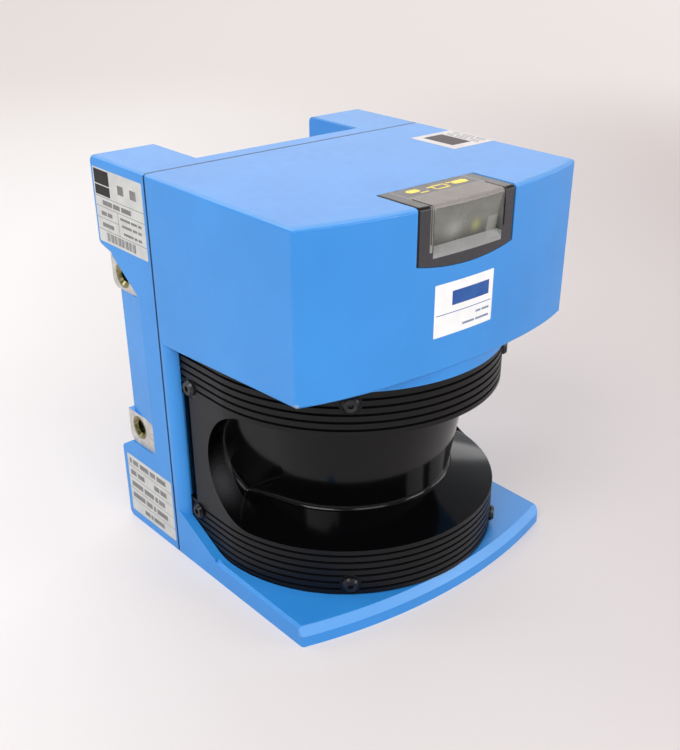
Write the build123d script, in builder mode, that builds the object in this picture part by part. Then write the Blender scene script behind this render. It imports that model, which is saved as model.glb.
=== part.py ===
"""Safety laser scanner: die-cast housing, ribbed optics cover, turning mirror and its optics.

Millimetres, +Z up, the front faces -Y and the origin is under the middle of the box.
"""
import math
import os

from build123d import *

os.makedirs("parts", exist_ok=True)

# Driving dimensions of the housing
WIDTH = 155.0
DEPTH = 156.0
HEIGHT = 185.0
FRONT_SAG = 12.4  # how far the front bows out beyond its corners
SEAM_Y = 32.0  # joint between the two castings
GASKET_T = 0.8
GASKET_INSET = 1.2
GASKET_BAND = 2.4
WALL = 4.0
EDGE_R = 1.6
BASE_H = 9.7  # height of the seat that the optics cover stands on
BASE_DRAFT = 0.9  # degrees that the base top falls towards the front
HOOD_DROP = 0.4  # hood underside at the columns, under the cover's seat
HOOD_DRAFT = 3.0  # degrees that the hood underside rises towards the front
HOOD_FLOOR_T = 8.8  # inner floor of the hood over the cover's seat
HOOD_LIP = 0.9  # chamfer along the lower front edge of the hood
BEVEL_IN = 2.4  # bevel along the front edge of the base
BEVEL_DROP = 4.4
SIDE_BEVEL = 1.4
COLUMN_Y = 24.0
COLUMN_R = 5.5
RAMP_TOP_Y = 28.9
RAMP_TOP_Z = 25.6
RAMP_SLOPE = 0.5
RAMP_R = 25.0

# Driving dimensions of the optics cover
AXIS_Y = -4.0  # the mirror axis, centre of the half-round cover
COVER_R = 72.5
COVER_WALL = 3.0
COVER_BACK = 25.4
COVER_H = 100.1
SEAL_T = 0.5
SEAL_BAND = 2.0
GROOVE_PITCH = 3.52
GROOVE_W = 1.2
GROOVE_DEPTH = 1.3
GROOVE_EDGE = 2.7  # from the edge of a ribbed ring to its first groove
LOWER_GROOVES = 6
UPPER_GROOVES = 5
RECESS_LOW = 33.2
RECESS_TOP = 90.3
RECESS_END_Y = 7.0  # rear tip of the recess in the side panels
RECESS_SLANT = 22.0  # degrees that the recess ends run back as they go in
FLARE_SLOPE = 0.36
WINDOW_R = 50.4  # window radius at WINDOW_Z
WINDOW_Z = 42.0
WINDOW_TAPER = 0.170  # growth of the radius with height
WINDOW_SPLAY = 17.0  # degrees that the window's flat sides open towards the rear
WINDOW_FILLET = 2.2
COVER_CLEARANCE = 0.4
RIM_W = 4.0  # upstanding rims of the housing that the cover screws hold
RIM_CLEARANCE = 0.2
LOWER_RIM_H = 11.0
UPPER_RIM_H = 12.0
REAR_STEP = 1.2
REAR_STEP_Y = 19.2

# Screws of the optics cover
COVER_SCREW_D = 3.9
COVER_SCREW_HEAD_D = 7.6
COVER_SCREW_HEAD_H = 2.2
COVER_SCREW_L = 9.0
COVER_HEAD_RIM = 1.0  # straight rim of the button head, then its slope in degrees
COVER_HEAD_TAPER = 38.0
COVER_SOCKET_R = 1.45
COVER_SOCKET_DEPTH = 1.4
COVER_SEAT_D = 9.8
SEAT_SINK = 0.2  # flat seats lie this far under the cover's face
FRONT_SCREW_ANGLE = 39.0
LOWER_SCREW_Z = 15.6
UPPER_SCREW_Z = 105.2
SIDE_SCREW_Y = 17.6
SIDE_LOWER_Z = 28.3
SIDE_UPPER_Z = 92.6
TAB_W = 13.0
SCREW_FIT = 0.1

# Indicator window
LENS_HALF = 27.0
LENS_BACK = 25.0  # its rear edge, from the housing's front
LENS_H = 22.6  # from the housing's top to its lower corners
LENS_BOW = 2.8  # its lower edge bows down by this in the middle
LENS_T = 2.4
LENS_GAP = 0.25
LENS_EDGE_R = 1.2
LENS_LEDGE = 3.2
BLOCK_HALF = 20.6  # the window is thicker here, before the lamps
BLOCK_T = 5.0
BLOCK_H = 18.8
DIP_HALF = 19.0  # tilted face in that thicker part
DIP_UPPER = (0.8, 1.5)  # its edges, in from the front and down from the top
DIP_LOWER = (3.4, 16.8)
DIP_SILL = 20.3
SLOT_W = 0.9
SLOT_DEPTH = 1.2
SLOT_L = 12.2
SLOT_H = 15.0

# Rear housing
MID_Y = 66.5
EAR_IN = 46.0  # inner side of the ears and feet
EAR_H = 40.0
EAR_SLOPE = 2.8
FOOT_TOP_Z = 41.0
FOOT_SLOPE_Z = 48.0
RECESS_FLOOR_Y = 41.0
RECESS_SILL_Z = 70.0
TAPER_Y = 46.0
TAPER_IN = 2.6
PAD_IN = 1.2
PAD_REAR_Y = 70.0
UPPER_PAD_H = 16.4
PAD_RISE = 1.0  # top of the upper pad over the end of the ear's slope
LOWER_PAD_LOW_Z = 47.2
LOWER_PAD_TOP_Z = 64.2
PAD_CORNER_R = 4.5
INSERT_Y = 60.8
INSERT_UPPER_RISE = 7.3  # from the lower edge of its pad
INSERT_LOWER_RISE = 9.5
INSERT_D = 12.0
INSERT_BORE = 6.8  # core of the M8 thread
INSERT_L = 16.0
INSERT_BOSS_D = 18.0
INSERT_CHAMFER = 0.8

# Housing screws
HOUSING_SCREW_X = 66.0
HOUSING_SCREW_DOWN = 12.0  # upper ones, from the top
HOUSING_SCREW_LOW_Z = 6.7
HOUSING_SCREW_D = 5.0
HOUSING_HEAD_D = 8.5
HOUSING_HEAD_H = 5.0
HOUSING_SOCKET_R = 2.3
HOUSING_HEAD_Y = 44.0
HOUSING_SCREW_L = 22.0
HOUSING_BOSS = 8.0  # from the screw to the sides of its boss
HOUSING_BOSS_L = 16.0
HOUSING_HOLE_D = 5.6
HOUSING_POCKET_D = 8.9

# Motor and mirror
SHAFT_D = 6.0
SHAFT_LOW_Z = 11.5
SHAFT_TOP_Z = 54.0
RUN_GAP = 0.1  # shaft in its bearings
AIR_GAP = 0.6  # magnet in the stator
FIT = 0.05  # parts pushed into a bore
BEARING_D = 16.0
BEARING_W = 4.0
HUB_D = 22.0
CUP_D = 44.0
CUP_WALL = 2.5
CUP_H = 24.5
CUP_WEB = 4.0
FLANGE_D = 58.0
FLANGE_T = 3.0
STATOR_IN_D = 25.0
STATOR_H = 12.0
STATOR_TEETH = 9
STATOR_SLOT = 5.0
MAGNET_H = 13.0
DISC_R = 28.0
DISC_T = 1.0
DISC_Z = 39.0
MIRROR_R = 20.5
MIRROR_T = 3.0
MIRROR_Z = 65.0
CARRIER_FOOT_D = 26.0
CARRIER_FOOT_H = 3.5
BOARD_T = 1.6
CHIP = 20.0
CHIP_T = 2.0
MOTOR_BOARD_Z = 20.0
MOTOR_BOARD_R = 56.0
POST_D = 7.0
POST_R = 50.0
SENSOR_IN = 24.6  # from the axis to the jaws and to the back of the encoder sensor
SENSOR_OUT = 37.0
SENSOR_W = 8.0
SENSOR_GAP = 1.0  # jaws to the encoder disc
SENSOR_JAW = 1.8

# Small screws of the motor, the boards and the lens tube
M3_D = 3.0
M3_HEAD_D = 5.5
M3_HEAD_H = 2.0
M3_L = 6.0
SCREW_R = 25.6  # motor screws from the axis

# Laser and receiver
PORT_R = 28.5
TUBE_R = 27.5
TUBE_WALL = 3.0
TUBE_LOW_Z = 92.0
TUBE_FLANGE_R = 34.5
EAR_R = 5.5
EAR_AT = 36.0  # screw ears of the lens tube, from the axis
LENS_SEAT_Z = 106.0
LENS_LEDGE_IN = 22.5
LENS_RIM = 2.0
LENS_EDGE = 3.0
LENS_BULGE = 4.0
RING_T = 3.0
BARREL_Z = 98.0
BARREL_D = 9.0
BARREL_BORE = 6.4
BARREL_Y = (4.5, 27.0)
BARREL_BOSS_D = 14.0
COLLIMATOR_T = 2.0
DIODE_CAN_D = 5.6
DIODE_STEM_D = 8.0
FOLD_SIZE = 8.0
FOLD_T = 1.2
FOLD_ARM = 8.0
CONE_GAP = 9.0  # from its top to the processor board
CONE_TOP_R = 12.0
CONE_FOOT_R = 26.5
CONE_WALL = 2.0
APERTURE_D = 8.2
RECEIVER_BOARD = (44.0, 34.0)

# Boards
PROCESSOR_DOWN = 14.0
PROCESSOR_X = 112.0
PROCESSOR_Y = (-50.0, 20.0)
PROCESSOR_POST = (50.0, 30.0)
POWER_Y = 54.4
POWER_X = 104.0
POWER_Z = (16.0, 60.0)
POWER_POST = (38.0, 17.0)
LAMP_PITCH = 13.0
LAMP_DOWN = 11.5
LAMP_D = 5.0
LAMP_BASE_D = 6.0
LAMP_L = 5.0
LAMP_BOARD_IN = 11.0
LAMP_BOARD_X = 48.0
LAMP_BOARD_H = 25.0
LAMP_BOARD_DOWN = 5.0
LAMP_POST_X = 18.0
LAMP_POST_RISE = 4.5

# Connectors in the rear recess
CONNECTOR_DOWN = 35.0
CONNECTOR_X = 21.0
CONNECTOR_BOARD_Y = 33.0
CONNECTOR_BOARD_H = 30.0
SHELL_H = 8.4
SHELL_T = 0.6
SHELL_OUT = 6.0
PLATE_H = 12.5
PLATE_T = 1.0
JACK_D = 5.0
JACK_HOLE_D = 3.0
PIN_D = 1.0
PIN_PITCH = 2.77
PIN_ROW = 2.84
# side, shell width, plate width, distance of the jack screws, pins in the longer row
CONNECTORS = {"supply": (1, 16.9, 30.8, 25.0, 5), "data": (-1, 25.2, 39.2, 33.3, 8)}

# Worked out from the sizes above
HALF = WIDTH / 2
FRONT_Y = -DEPTH / 2
REAR_Y = DEPTH / 2
FRONT_R = (HALF**2 + FRONT_SAG**2) / (2 * FRONT_SAG)
FRONT_BACK = SEAM_Y - GASKET_T / 2
REAR_FRONT = SEAM_Y + GASKET_T / 2
COVER_LOW = BASE_H + SEAL_T
COVER_TOP = COVER_LOW + COVER_H
COLLAR_Z = COVER_TOP + SEAL_T
HOOD_Z = COLLAR_Z - HOOD_DROP
HOOD_FLOOR = COLLAR_Z + HOOD_FLOOR_T
RECESS_MID_Z = (RECESS_LOW + RECESS_TOP) / 2
RECESS_R = (RECESS_TOP - RECESS_LOW) / 2
RECESS_MID_Y = RECESS_END_Y - RECESS_R
RIM_OUT = COVER_WALL + RIM_CLEARANCE
PAD_X = HALF - PAD_IN
EAR_LOW_Z = HEIGHT - EAR_H
EAR_SLOPE_Z = EAR_LOW_Z - EAR_SLOPE
PAD_TOP_Z = EAR_SLOPE_Z + PAD_RISE
UPPER_PAD_LOW_Z = PAD_TOP_Z - UPPER_PAD_H
INSERT_UPPER_Z = UPPER_PAD_LOW_Z + INSERT_UPPER_RISE
INSERT_LOWER_Z = LOWER_PAD_LOW_Z + INSERT_LOWER_RISE
HOUSING_SCREW_TOP_Z = HEIGHT - HOUSING_SCREW_DOWN
CONNECTOR_Z = HEIGHT - CONNECTOR_DOWN
LENS_BACK_Y = FRONT_Y + LENS_BACK
LENS_LOW_Z = HEIGHT - LENS_H
BLOCK_LOW_Z = HEIGHT - BLOCK_H
DIP_TOP = (FRONT_Y + DIP_UPPER[0], HEIGHT - DIP_UPPER[1])
DIP_LOW = (FRONT_Y + DIP_LOWER[0], HEIGHT - DIP_LOWER[1])
DIP_SILL_Z = HEIGHT - DIP_SILL
SLOT_BACK_Y = FRONT_Y + SLOT_L
SLOT_LOW_Z = HEIGHT - SLOT_H
PROCESSOR_Z = HEIGHT - PROCESSOR_DOWN
CONE_TOP_Z = PROCESSOR_Z - CONE_GAP
LAMP_Z = HEIGHT - LAMP_DOWN
LAMP_BOARD_Y = FRONT_Y + LAMP_BOARD_IN
LAMP_BOARD_TOP_Z = HEIGHT - LAMP_BOARD_DOWN
LAMP_BOARD_LOW_Z = LAMP_BOARD_TOP_Z - LAMP_BOARD_H
LAMP_POST_Z = LAMP_BOARD_LOW_Z + LAMP_POST_RISE
SIDE_OUT = HALF - WALL - TAPER_IN
INSERTS = [(INSERT_Y, INSERT_UPPER_Z), (INSERT_Y, INSERT_LOWER_Z)]
CUP_LOW = BASE_H + FLANGE_T
CUP_TOP = CUP_LOW + CUP_H
BELL_IN = CUP_D / 2 - CUP_WALL
LOWER_BEARING_Z = CUP_LOW + 1
STATOR_Z = LOWER_BEARING_Z + BEARING_W + 2
TUBE_TOP = HOOD_FLOOR + FLANGE_T
OUTSIDE = 20.0  # how far a cutting shape reaches past what it cuts
AXIS = Axis((0, AXIS_Y, 0), (0, 0, 1))


def bowed_plan(inset, back_y):
    """Plan of the housing front: straight sides and a bowed front, set in by inset."""
    half = HALF - inset
    centre_y = FRONT_Y + FRONT_R
    corner_y = centre_y - math.sqrt((FRONT_R - inset) ** 2 - half**2)
    with BuildSketch() as plan:
        with BuildLine():
            ThreePointArc((-half, corner_y), (0, FRONT_Y + inset), (half, corner_y))
            Polyline((half, corner_y), (half, back_y), (-half, back_y), (-half, corner_y))
        make_face()
    return plan.sketch


def cover_plan(grow, back_y):
    """Plan of the optics cover: half round in front, straight sides to back_y."""
    radius = COVER_R + grow
    with BuildSketch() as plan:
        with BuildLine():
            ThreePointArc((-radius, AXIS_Y), (0, AXIS_Y - radius), (radius, AXIS_Y))
            Polyline((radius, AXIS_Y), (radius, back_y), (-radius, back_y), (-radius, AXIS_Y))
        make_face()
    return plan.sketch


def rim_plan(outer, inner, back_y):
    """Band of the cover's plan between two insets from its outer face."""
    with BuildSketch() as plan:
        add(cover_plan(-outer, back_y))
        add(cover_plan(-inner, back_y + OUTSIDE), mode=Mode.SUBTRACT)
    return plan.sketch


def window_plan(radius):
    """Plan of the scan window: an arc in front and flat sides that open to the rear."""
    splay = math.radians(WINDOW_SPLAY)
    touch_x = radius * math.cos(splay)
    touch_y = AXIS_Y - radius * math.sin(splay)
    back_y = COVER_BACK + OUTSIDE
    back_x = touch_x + (back_y - touch_y) * math.tan(splay)
    with BuildSketch() as plan:
        with BuildLine():
            ThreePointArc((-touch_x, touch_y), (0, AXIS_Y - radius), (touch_x, touch_y))
            Polyline((touch_x, touch_y), (back_x, back_y), (-back_x, back_y), (-touch_x, touch_y))
        make_face()
    return plan.sketch


def base_top(y):
    """Height of the sloping base top at y."""
    return BASE_H + (y - FRONT_Y) * math.tan(math.radians(BASE_DRAFT))


def hood_under(y):
    """Height of the sloping hood underside at y."""
    return HOOD_Z + (COLUMN_Y - y) * math.tan(math.radians(HOOD_DRAFT))


def window_radius(z):
    """Radius of the scan window at height z."""
    return WINDOW_R + (z - WINDOW_Z) * WINDOW_TAPER


def recess(grow, blend):
    """Space round the scan window, grown by grow, with the window's foot rounded by blend."""
    slant = math.radians(RECESS_SLANT)
    start_x = COVER_R + OUTSIDE / 2
    start_y = RECESS_MID_Y - OUTSIDE / 2 * math.tan(slant)
    radius = RECESS_R + grow
    low = RECESS_MID_Z - radius
    front_y = start_y - 2 * COVER_R
    with BuildPart() as space:
        for side in (-1, 1):
            with BuildSketch(Plane((side * start_x, 0, 0), x_dir=(0, 1, 0), z_dir=(1, 0, 0))):
                with BuildLine():
                    ThreePointArc(
                        (start_y, low),
                        (start_y + radius, RECESS_MID_Z),
                        (start_y, low + 2 * radius),
                    )
                    Polyline(
                        (start_y, low + 2 * radius),
                        (front_y, low + 2 * radius),
                        (front_y, low),
                        (start_y, low),
                    )
                make_face()
            extrude(
                amount=start_x / math.cos(slant),
                dir=(-side * math.cos(slant), math.sin(slant), 0),
            )
        with BuildSketch(Plane.XY.offset(low - OUTSIDE)):
            add(window_plan(window_radius(low - OUTSIDE) - grow))
        with BuildSketch(Plane.XY.offset(low + 2 * radius + OUTSIDE)):
            add(window_plan(window_radius(low + 2 * radius + OUTSIDE) - grow))
        loft(ruled=True, mode=Mode.SUBTRACT)
        drop = grow * math.hypot(1, FLARE_SLOPE)
        far_r = COVER_R + 2 * OUTSIDE
        with BuildSketch(Plane.XZ.offset(-AXIS_Y)):
            with BuildLine():
                Polyline(
                    (0, low - 2 * OUTSIDE),
                    (far_r, low - 2 * OUTSIDE),
                    (far_r, RECESS_LOW - (far_r - COVER_R) * FLARE_SLOPE - drop),
                    (0, RECESS_LOW + COVER_R * FLARE_SLOPE - drop),
                    (0, low - 2 * OUTSIDE),
                )
            make_face()
        revolve(axis=AXIS, mode=Mode.SUBTRACT)
        if blend > 0:
            foot_edges = space.edges().filter_by(
                lambda e: e.geom_type != GeomType.BEZIER
                and e.center().Z < RECESS_TOP - 1
                and math.hypot(e.center().X, e.center().Y - AXIS_Y) < COVER_R
            )
            fillet(foot_edges, blend)
    return space.part


def pad_outline(low, high):
    """Side view of a thread boss, with its lower corners rounded."""
    with BuildSketch() as outline:
        with Locations(((TAPER_Y + PAD_REAR_Y) / 2, (low + high) / 2)):
            Rectangle(PAD_REAR_Y - TAPER_Y, high - low)
        fillet(vertices().group_by(Axis.Y)[0], PAD_CORNER_R)
    return outline.sketch


def flush_corner():
    """Side view of the corner of the upper boss that lies under the ear."""
    with BuildSketch() as outline:
        with BuildLine():
            Polyline(
                (TAPER_Y - 1, UPPER_PAD_LOW_Z),
                (MID_Y, EAR_SLOPE_Z),
                (MID_Y, PAD_TOP_Z + 1),
                (TAPER_Y - 1, PAD_TOP_Z + 1),
                (TAPER_Y - 1, UPPER_PAD_LOW_Z),
            )
        make_face()
    return outline.sketch


def window_face(inset):
    """Front view of the indicator window with its bowed lower edge, set in by inset."""
    half = LENS_HALF - inset
    low = LENS_LOW_Z + inset
    top = HEIGHT + OUTSIDE
    with BuildSketch() as face:
        with BuildLine():
            ThreePointArc((-half, low), (0, low - LENS_BOW), (half, low))
            Polyline((half, low), (half, top), (-half, top), (-half, low))
        make_face()
    return face.sketch


def window_pocket():
    """Space in the hood's front edge that the indicator window fills."""
    with BuildPart() as pocket:
        with BuildSketch(Plane.XZ.offset(-LENS_BACK_Y)):
            add(window_face(0))
        extrude(amount=2 * OUTSIDE)
        with BuildSketch():
            add(bowed_plan(LENS_T + LENS_GAP, SEAM_Y))
        extrude(amount=HEIGHT - LENS_T - LENS_GAP, mode=Mode.SUBTRACT)
    return pocket.part


def window_hollow():
    """Inside of the indicator window: thin walls, and a thicker one before the lamps."""
    with BuildPart() as hollow:
        with BuildSketch():
            add(bowed_plan(BLOCK_T, SEAM_Y))
        extrude(amount=HEIGHT - LENS_T)
        with BuildSketch():
            add(bowed_plan(LENS_T, SEAM_Y))
            Rectangle(2 * BLOCK_HALF, 2 * DEPTH, mode=Mode.SUBTRACT)
        extrude(amount=HEIGHT - LENS_T)
        with BuildSketch():
            add(bowed_plan(LENS_T, SEAM_Y))
        extrude(amount=BLOCK_LOW_Z)
    return hollow.part


def window_slots():
    """Narrow slots beside the tilted face, up the front and over the top edge."""
    with BuildPart() as slots:
        for side in (-1, 1):
            with Locations(
                (side * (BLOCK_HALF - SLOT_W / 2), SLOT_BACK_Y - OUTSIDE, SLOT_LOW_Z + OUTSIDE)
            ):
                Box(SLOT_W, 2 * OUTSIDE, 2 * OUTSIDE)
        with BuildSketch():
            add(bowed_plan(SLOT_DEPTH, SEAM_Y))
        extrude(amount=HEIGHT - SLOT_DEPTH, mode=Mode.SUBTRACT)
    return slots.part


def radial_plane(angle, radius, z):
    """Plane square to the half-round cover wall, with its normal pointing outwards."""
    turn = math.radians(angle)
    out = Vector(math.sin(turn), -math.cos(turn), 0)
    return Plane(Vector(0, AXIS_Y, z) + out * radius, z_dir=out)


def side_plane(side, y, z):
    """Plane on the cover's side panel, with its normal pointing outwards."""
    return Plane((side * COVER_R, y, z), z_dir=(side, 0, 0))


COVER_SCREW_PLANES = [
    radial_plane(side * FRONT_SCREW_ANGLE, COVER_R, z)
    for side in (-1, 1)
    for z in (LOWER_SCREW_Z, UPPER_SCREW_Z)
] + [
    side_plane(side, SIDE_SCREW_Y, z)
    for side in (-1, 1)
    for z in (SIDE_LOWER_Z, SIDE_UPPER_Z)
]


def ring(radius, angles):
    """Points round the mirror axis, at the given angles."""
    return [
        (radius * math.cos(math.radians(a)), AXIS_Y + radius * math.sin(math.radians(a)))
        for a in angles
    ]


def grid(middle, half):
    """Four corners about a middle point."""
    return [(middle[0] + i * half[0], middle[1] + j * half[1]) for i in (-1, 1) for j in (-1, 1)]


MOTOR_SCREWS = ring(SCREW_R, (30, 150, 270))
MOTOR_POSTS = ring(POST_R, (20, 160, 270))
TUBE_SCREWS = ring(EAR_AT, (30, 150, 270))
PROCESSOR_POSTS = grid((0, sum(PROCESSOR_Y) / 2), PROCESSOR_POST)
POWER_POSTS = grid((0, sum(POWER_Z) / 2), POWER_POST)
LAMP_POSTS = [(side * LAMP_POST_X, LAMP_POST_Z) for side in (-1, 1)]
HOUSING_SCREWS = [
    (side * HOUSING_SCREW_X, z)
    for side in (-1, 1)
    for z in (HOUSING_SCREW_LOW_Z, HOUSING_SCREW_TOP_Z)
]


def ear_plate():
    """Round flange with three screw ears, shared by the lens tube and the receiver cone."""
    with BuildSketch() as plate:
        with Locations((0, AXIS_Y)):
            Circle(TUBE_FLANGE_R)
        with Locations(*TUBE_SCREWS):
            Circle(EAR_R)
            Circle((M3_D + 2 * SCREW_FIT) / 2, mode=Mode.SUBTRACT)
    return plate.sketch


def housing_boss(x, z):
    """Middle and size, in X and Z, of the boss that ties a housing screw into the walls."""
    side = math.copysign(1, x)
    low = max(z - HOUSING_BOSS, WALL / 2)
    high = min(z + HOUSING_BOSS, HEIGHT - WALL / 2)
    inner = abs(x) - HOUSING_BOSS
    outer = HALF - TAPER_IN - WALL / 2
    return (side * (inner + outer) / 2, (low + high) / 2), (outer - inner, high - low)


# Front housing: hood, columns, base and ramps in one casting
with BuildPart() as front_housing:
    with BuildSketch():
        add(bowed_plan(0, FRONT_BACK))
    extrude(amount=HEIGHT)
    fillet(front_housing.edges().filter_by(Axis.Z).group_by(Axis.Y)[0], EDGE_R)
    top_rim = front_housing.edges().group_by(Axis.Z)[-1]
    fillet(top_rim.filter_by_position(Axis.Y, -DEPTH, FRONT_BACK - 1), EDGE_R)

    # Mouth between base and hood, with the ramps that rise to the columns
    ramp_y = (RAMP_TOP_Z - RAMP_SLOPE * RAMP_TOP_Y - base_top(0)) / (
        math.tan(math.radians(BASE_DRAFT)) - RAMP_SLOPE
    )
    far_y = FRONT_Y - OUTSIDE
    with BuildSketch(Plane.YZ.offset(-HALF - OUTSIDE)) as mouth:
        with BuildLine():
            FilletPolyline(
                (far_y, base_top(far_y)),
                (ramp_y, base_top(ramp_y)),
                (SEAM_Y, RAMP_TOP_Z + RAMP_SLOPE * (SEAM_Y - RAMP_TOP_Y)),
                radius=RAMP_R,
            )
            Polyline(
                (SEAM_Y, RAMP_TOP_Z + RAMP_SLOPE * (SEAM_Y - RAMP_TOP_Y)),
                (SEAM_Y, hood_under(SEAM_Y)),
                (far_y, hood_under(far_y)),
                (far_y, base_top(far_y)),
            )
        make_face()
    extrude(amount=WIDTH + 2 * OUTSIDE, mode=Mode.SUBTRACT)
    lip = front_housing.edges().filter_by(
        lambda e: HOOD_Z < e.center().Z < HOOD_FLOOR and e.center().Y < FRONT_Y + FRONT_SAG + EDGE_R
    )
    chamfer(lip.filter_by(lambda e: abs(e @ 0 - e @ 1) > EDGE_R), HOOD_LIP)

    # Bevels along the bowed front edge and the side edges of the base
    run = BEVEL_IN / BEVEL_DROP
    with BuildSketch(Plane.XZ.offset(-FRONT_Y - FRONT_R)):
        with BuildLine():
            Polyline(
                (FRONT_R + BEVEL_IN, BASE_H - BEVEL_DROP - BEVEL_IN / run),
                (FRONT_R + BEVEL_IN, BASE_H + BEVEL_DROP),
                (FRONT_R - BEVEL_IN - BEVEL_DROP * run, BASE_H + BEVEL_DROP),
                (FRONT_R + BEVEL_IN, BASE_H - BEVEL_DROP - BEVEL_IN / run),
            )
        make_face()
    revolve(axis=Axis((0, FRONT_Y + FRONT_R, 0), (0, 0, 1)), mode=Mode.SUBTRACT)
    for side in (-1, 1):
        with BuildSketch(Plane.XZ.offset(-FRONT_Y)):
            with BuildLine():
                Polyline(
                    (side * (HALF + SIDE_BEVEL), BASE_H - 2 * SIDE_BEVEL),
                    (side * (HALF + SIDE_BEVEL), BASE_H + SIDE_BEVEL),
                    (side * (HALF - 2 * SIDE_BEVEL), BASE_H + SIDE_BEVEL),
                    (side * (HALF + SIDE_BEVEL), BASE_H - 2 * SIDE_BEVEL),
                )
            make_face()
        drop = math.radians(BASE_DRAFT)
        extrude(
            amount=(ramp_y - FRONT_Y) / math.cos(drop),
            dir=(0, math.cos(drop), math.sin(drop)),
            mode=Mode.SUBTRACT,
        )

    # Columns and back wall, with rounded front corners
    with BuildSketch():
        with Locations((0, (COLUMN_Y + FRONT_BACK) / 2)):
            Rectangle(WIDTH, FRONT_BACK - COLUMN_Y)
        fillet(vertices().group_by(Axis.Y)[0], COLUMN_R)
    extrude(amount=hood_under(COLUMN_Y) + 1)

    # Collar that the cover's top meets, then the seat of the cover
    with BuildSketch(Plane.XY.offset(COLLAR_Z)):
        add(cover_plan(1.0, COVER_BACK))
    extrude(amount=HOOD_FLOOR - COLLAR_Z)
    with BuildSketch(Plane.XY.offset(BASE_H)):
        add(cover_plan(COVER_CLEARANCE, COVER_BACK))
    extrude(amount=COLLAR_Z - BASE_H, mode=Mode.SUBTRACT)

    # Rims inside the cover, with tabs for the side screws
    with BuildSketch(Plane.XY.offset(BASE_H)):
        add(rim_plan(RIM_OUT, RIM_OUT + RIM_W, COVER_BACK))
    extrude(amount=LOWER_RIM_H)
    with BuildSketch(Plane.XY.offset(COLLAR_Z - UPPER_RIM_H)):
        add(rim_plan(RIM_OUT, RIM_OUT + RIM_W, COVER_BACK))
    extrude(amount=UPPER_RIM_H)
    for side in (-1, 1):
        tab_x = side * (COVER_R - RIM_OUT - RIM_W / 2)
        tab_y = COVER_BACK - TAB_W / 2
        for low, high in (
            (BASE_H, SIDE_LOWER_Z + TAB_W / 2),
            (SIDE_UPPER_Z - TAB_W / 2, COLLAR_Z),
        ):
            with Locations((tab_x, tab_y, (low + high) / 2)):
                Box(RIM_W, TAB_W, high - low)

    # Hood cavity, optics port and the opening behind the cover
    with BuildSketch(Plane.XY.offset(HOOD_FLOOR)):
        add(bowed_plan(WALL, SEAM_Y))
    extrude(amount=HEIGHT - WALL - HOOD_FLOOR, mode=Mode.SUBTRACT)
    with BuildSketch(Plane.XY.offset(COLLAR_Z - 1)):
        with Locations((0, AXIS_Y)):
            Circle(PORT_R)
    extrude(amount=HOOD_FLOOR - COLLAR_Z + 2, mode=Mode.SUBTRACT)
    opening_half = COVER_R - RIM_OUT - RIM_W - 3
    with Locations((0, (COLUMN_Y + SEAM_Y) / 2, (BASE_H + COLLAR_Z) / 2)):
        Box(2 * opening_half, SEAM_Y - COLUMN_Y + 4, COLLAR_Z - BASE_H - 2 * WALL, mode=Mode.SUBTRACT)

    # Bosses for the housing screws in the hood corners, posts for the boards
    for x, z in HOUSING_SCREWS:
        if z > HOOD_FLOOR:
            centre, size = housing_boss(x, z)
            with BuildSketch(Plane.XZ.offset(-FRONT_BACK)):
                with Locations(centre):
                    Rectangle(size[0] + TAPER_IN, size[1])
            extrude(amount=HOUSING_BOSS_L)
    with BuildSketch(Plane.XY.offset(PROCESSOR_Z + BOARD_T)):
        with Locations(*PROCESSOR_POSTS):
            Circle(POST_D / 2)
    extrude(amount=HEIGHT - WALL / 2 - PROCESSOR_Z - BOARD_T)
    with BuildSketch(Plane.XY.offset(BASE_H - WALL / 2)):
        with Locations(*MOTOR_POSTS):
            Circle(POST_D / 2)
    extrude(amount=MOTOR_BOARD_Z - BASE_H + WALL / 2)
    with BuildSketch(Plane.XZ.offset(-LAMP_BOARD_Y)):
        with Locations(*LAMP_POSTS):
            Circle(POST_D / 2)
    extrude(amount=LAMP_BOARD_Y - FRONT_Y - WALL / 2 - 1)

    # Pocket and opening for the indicator window
    add(window_pocket(), mode=Mode.SUBTRACT)
    with Locations((0, LENS_BACK_Y - LENS_LEDGE - OUTSIDE, LENS_LOW_Z + LENS_LEDGE + OUTSIDE)):
        Box(2 * (LENS_HALF - LENS_LEDGE), 2 * OUTSIDE, 2 * OUTSIDE, mode=Mode.SUBTRACT)

    # Screw holes
    for plane in COVER_SCREW_PLANES:
        with BuildSketch(plane):
            Circle((COVER_SCREW_D + SCREW_FIT) / 2)
        extrude(amount=-COVER_SCREW_L - 0.5, mode=Mode.SUBTRACT)
    with BuildSketch(Plane.XZ.offset(-FRONT_BACK)):
        with Locations(*HOUSING_SCREWS):
            Circle((HOUSING_SCREW_D + SCREW_FIT) / 2)
    extrude(amount=HOUSING_SCREW_L - (HOUSING_HEAD_Y - FRONT_BACK) + 1, mode=Mode.SUBTRACT)
    for plane, places in (
        (Plane.XY.offset(BASE_H), MOTOR_SCREWS),
        (Plane.XY.offset(MOTOR_BOARD_Z), MOTOR_POSTS),
        (Plane.XY.offset(HOOD_FLOOR), TUBE_SCREWS),
        (Plane.XY.offset(PROCESSOR_Z + BOARD_T + M3_L), PROCESSOR_POSTS),
        (Plane.XZ.offset(-LAMP_BOARD_Y), LAMP_POSTS),
    ):
        depth = -M3_L if plane.z_dir.Z > 0 else M3_L
        with BuildSketch(plane):
            with Locations(*places):
                Circle((M3_D + SCREW_FIT) / 2)
        extrude(amount=depth, mode=Mode.SUBTRACT)
front_housing.part.label = "front_housing"
export_step(front_housing.part, "parts/front_housing.step")

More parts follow.
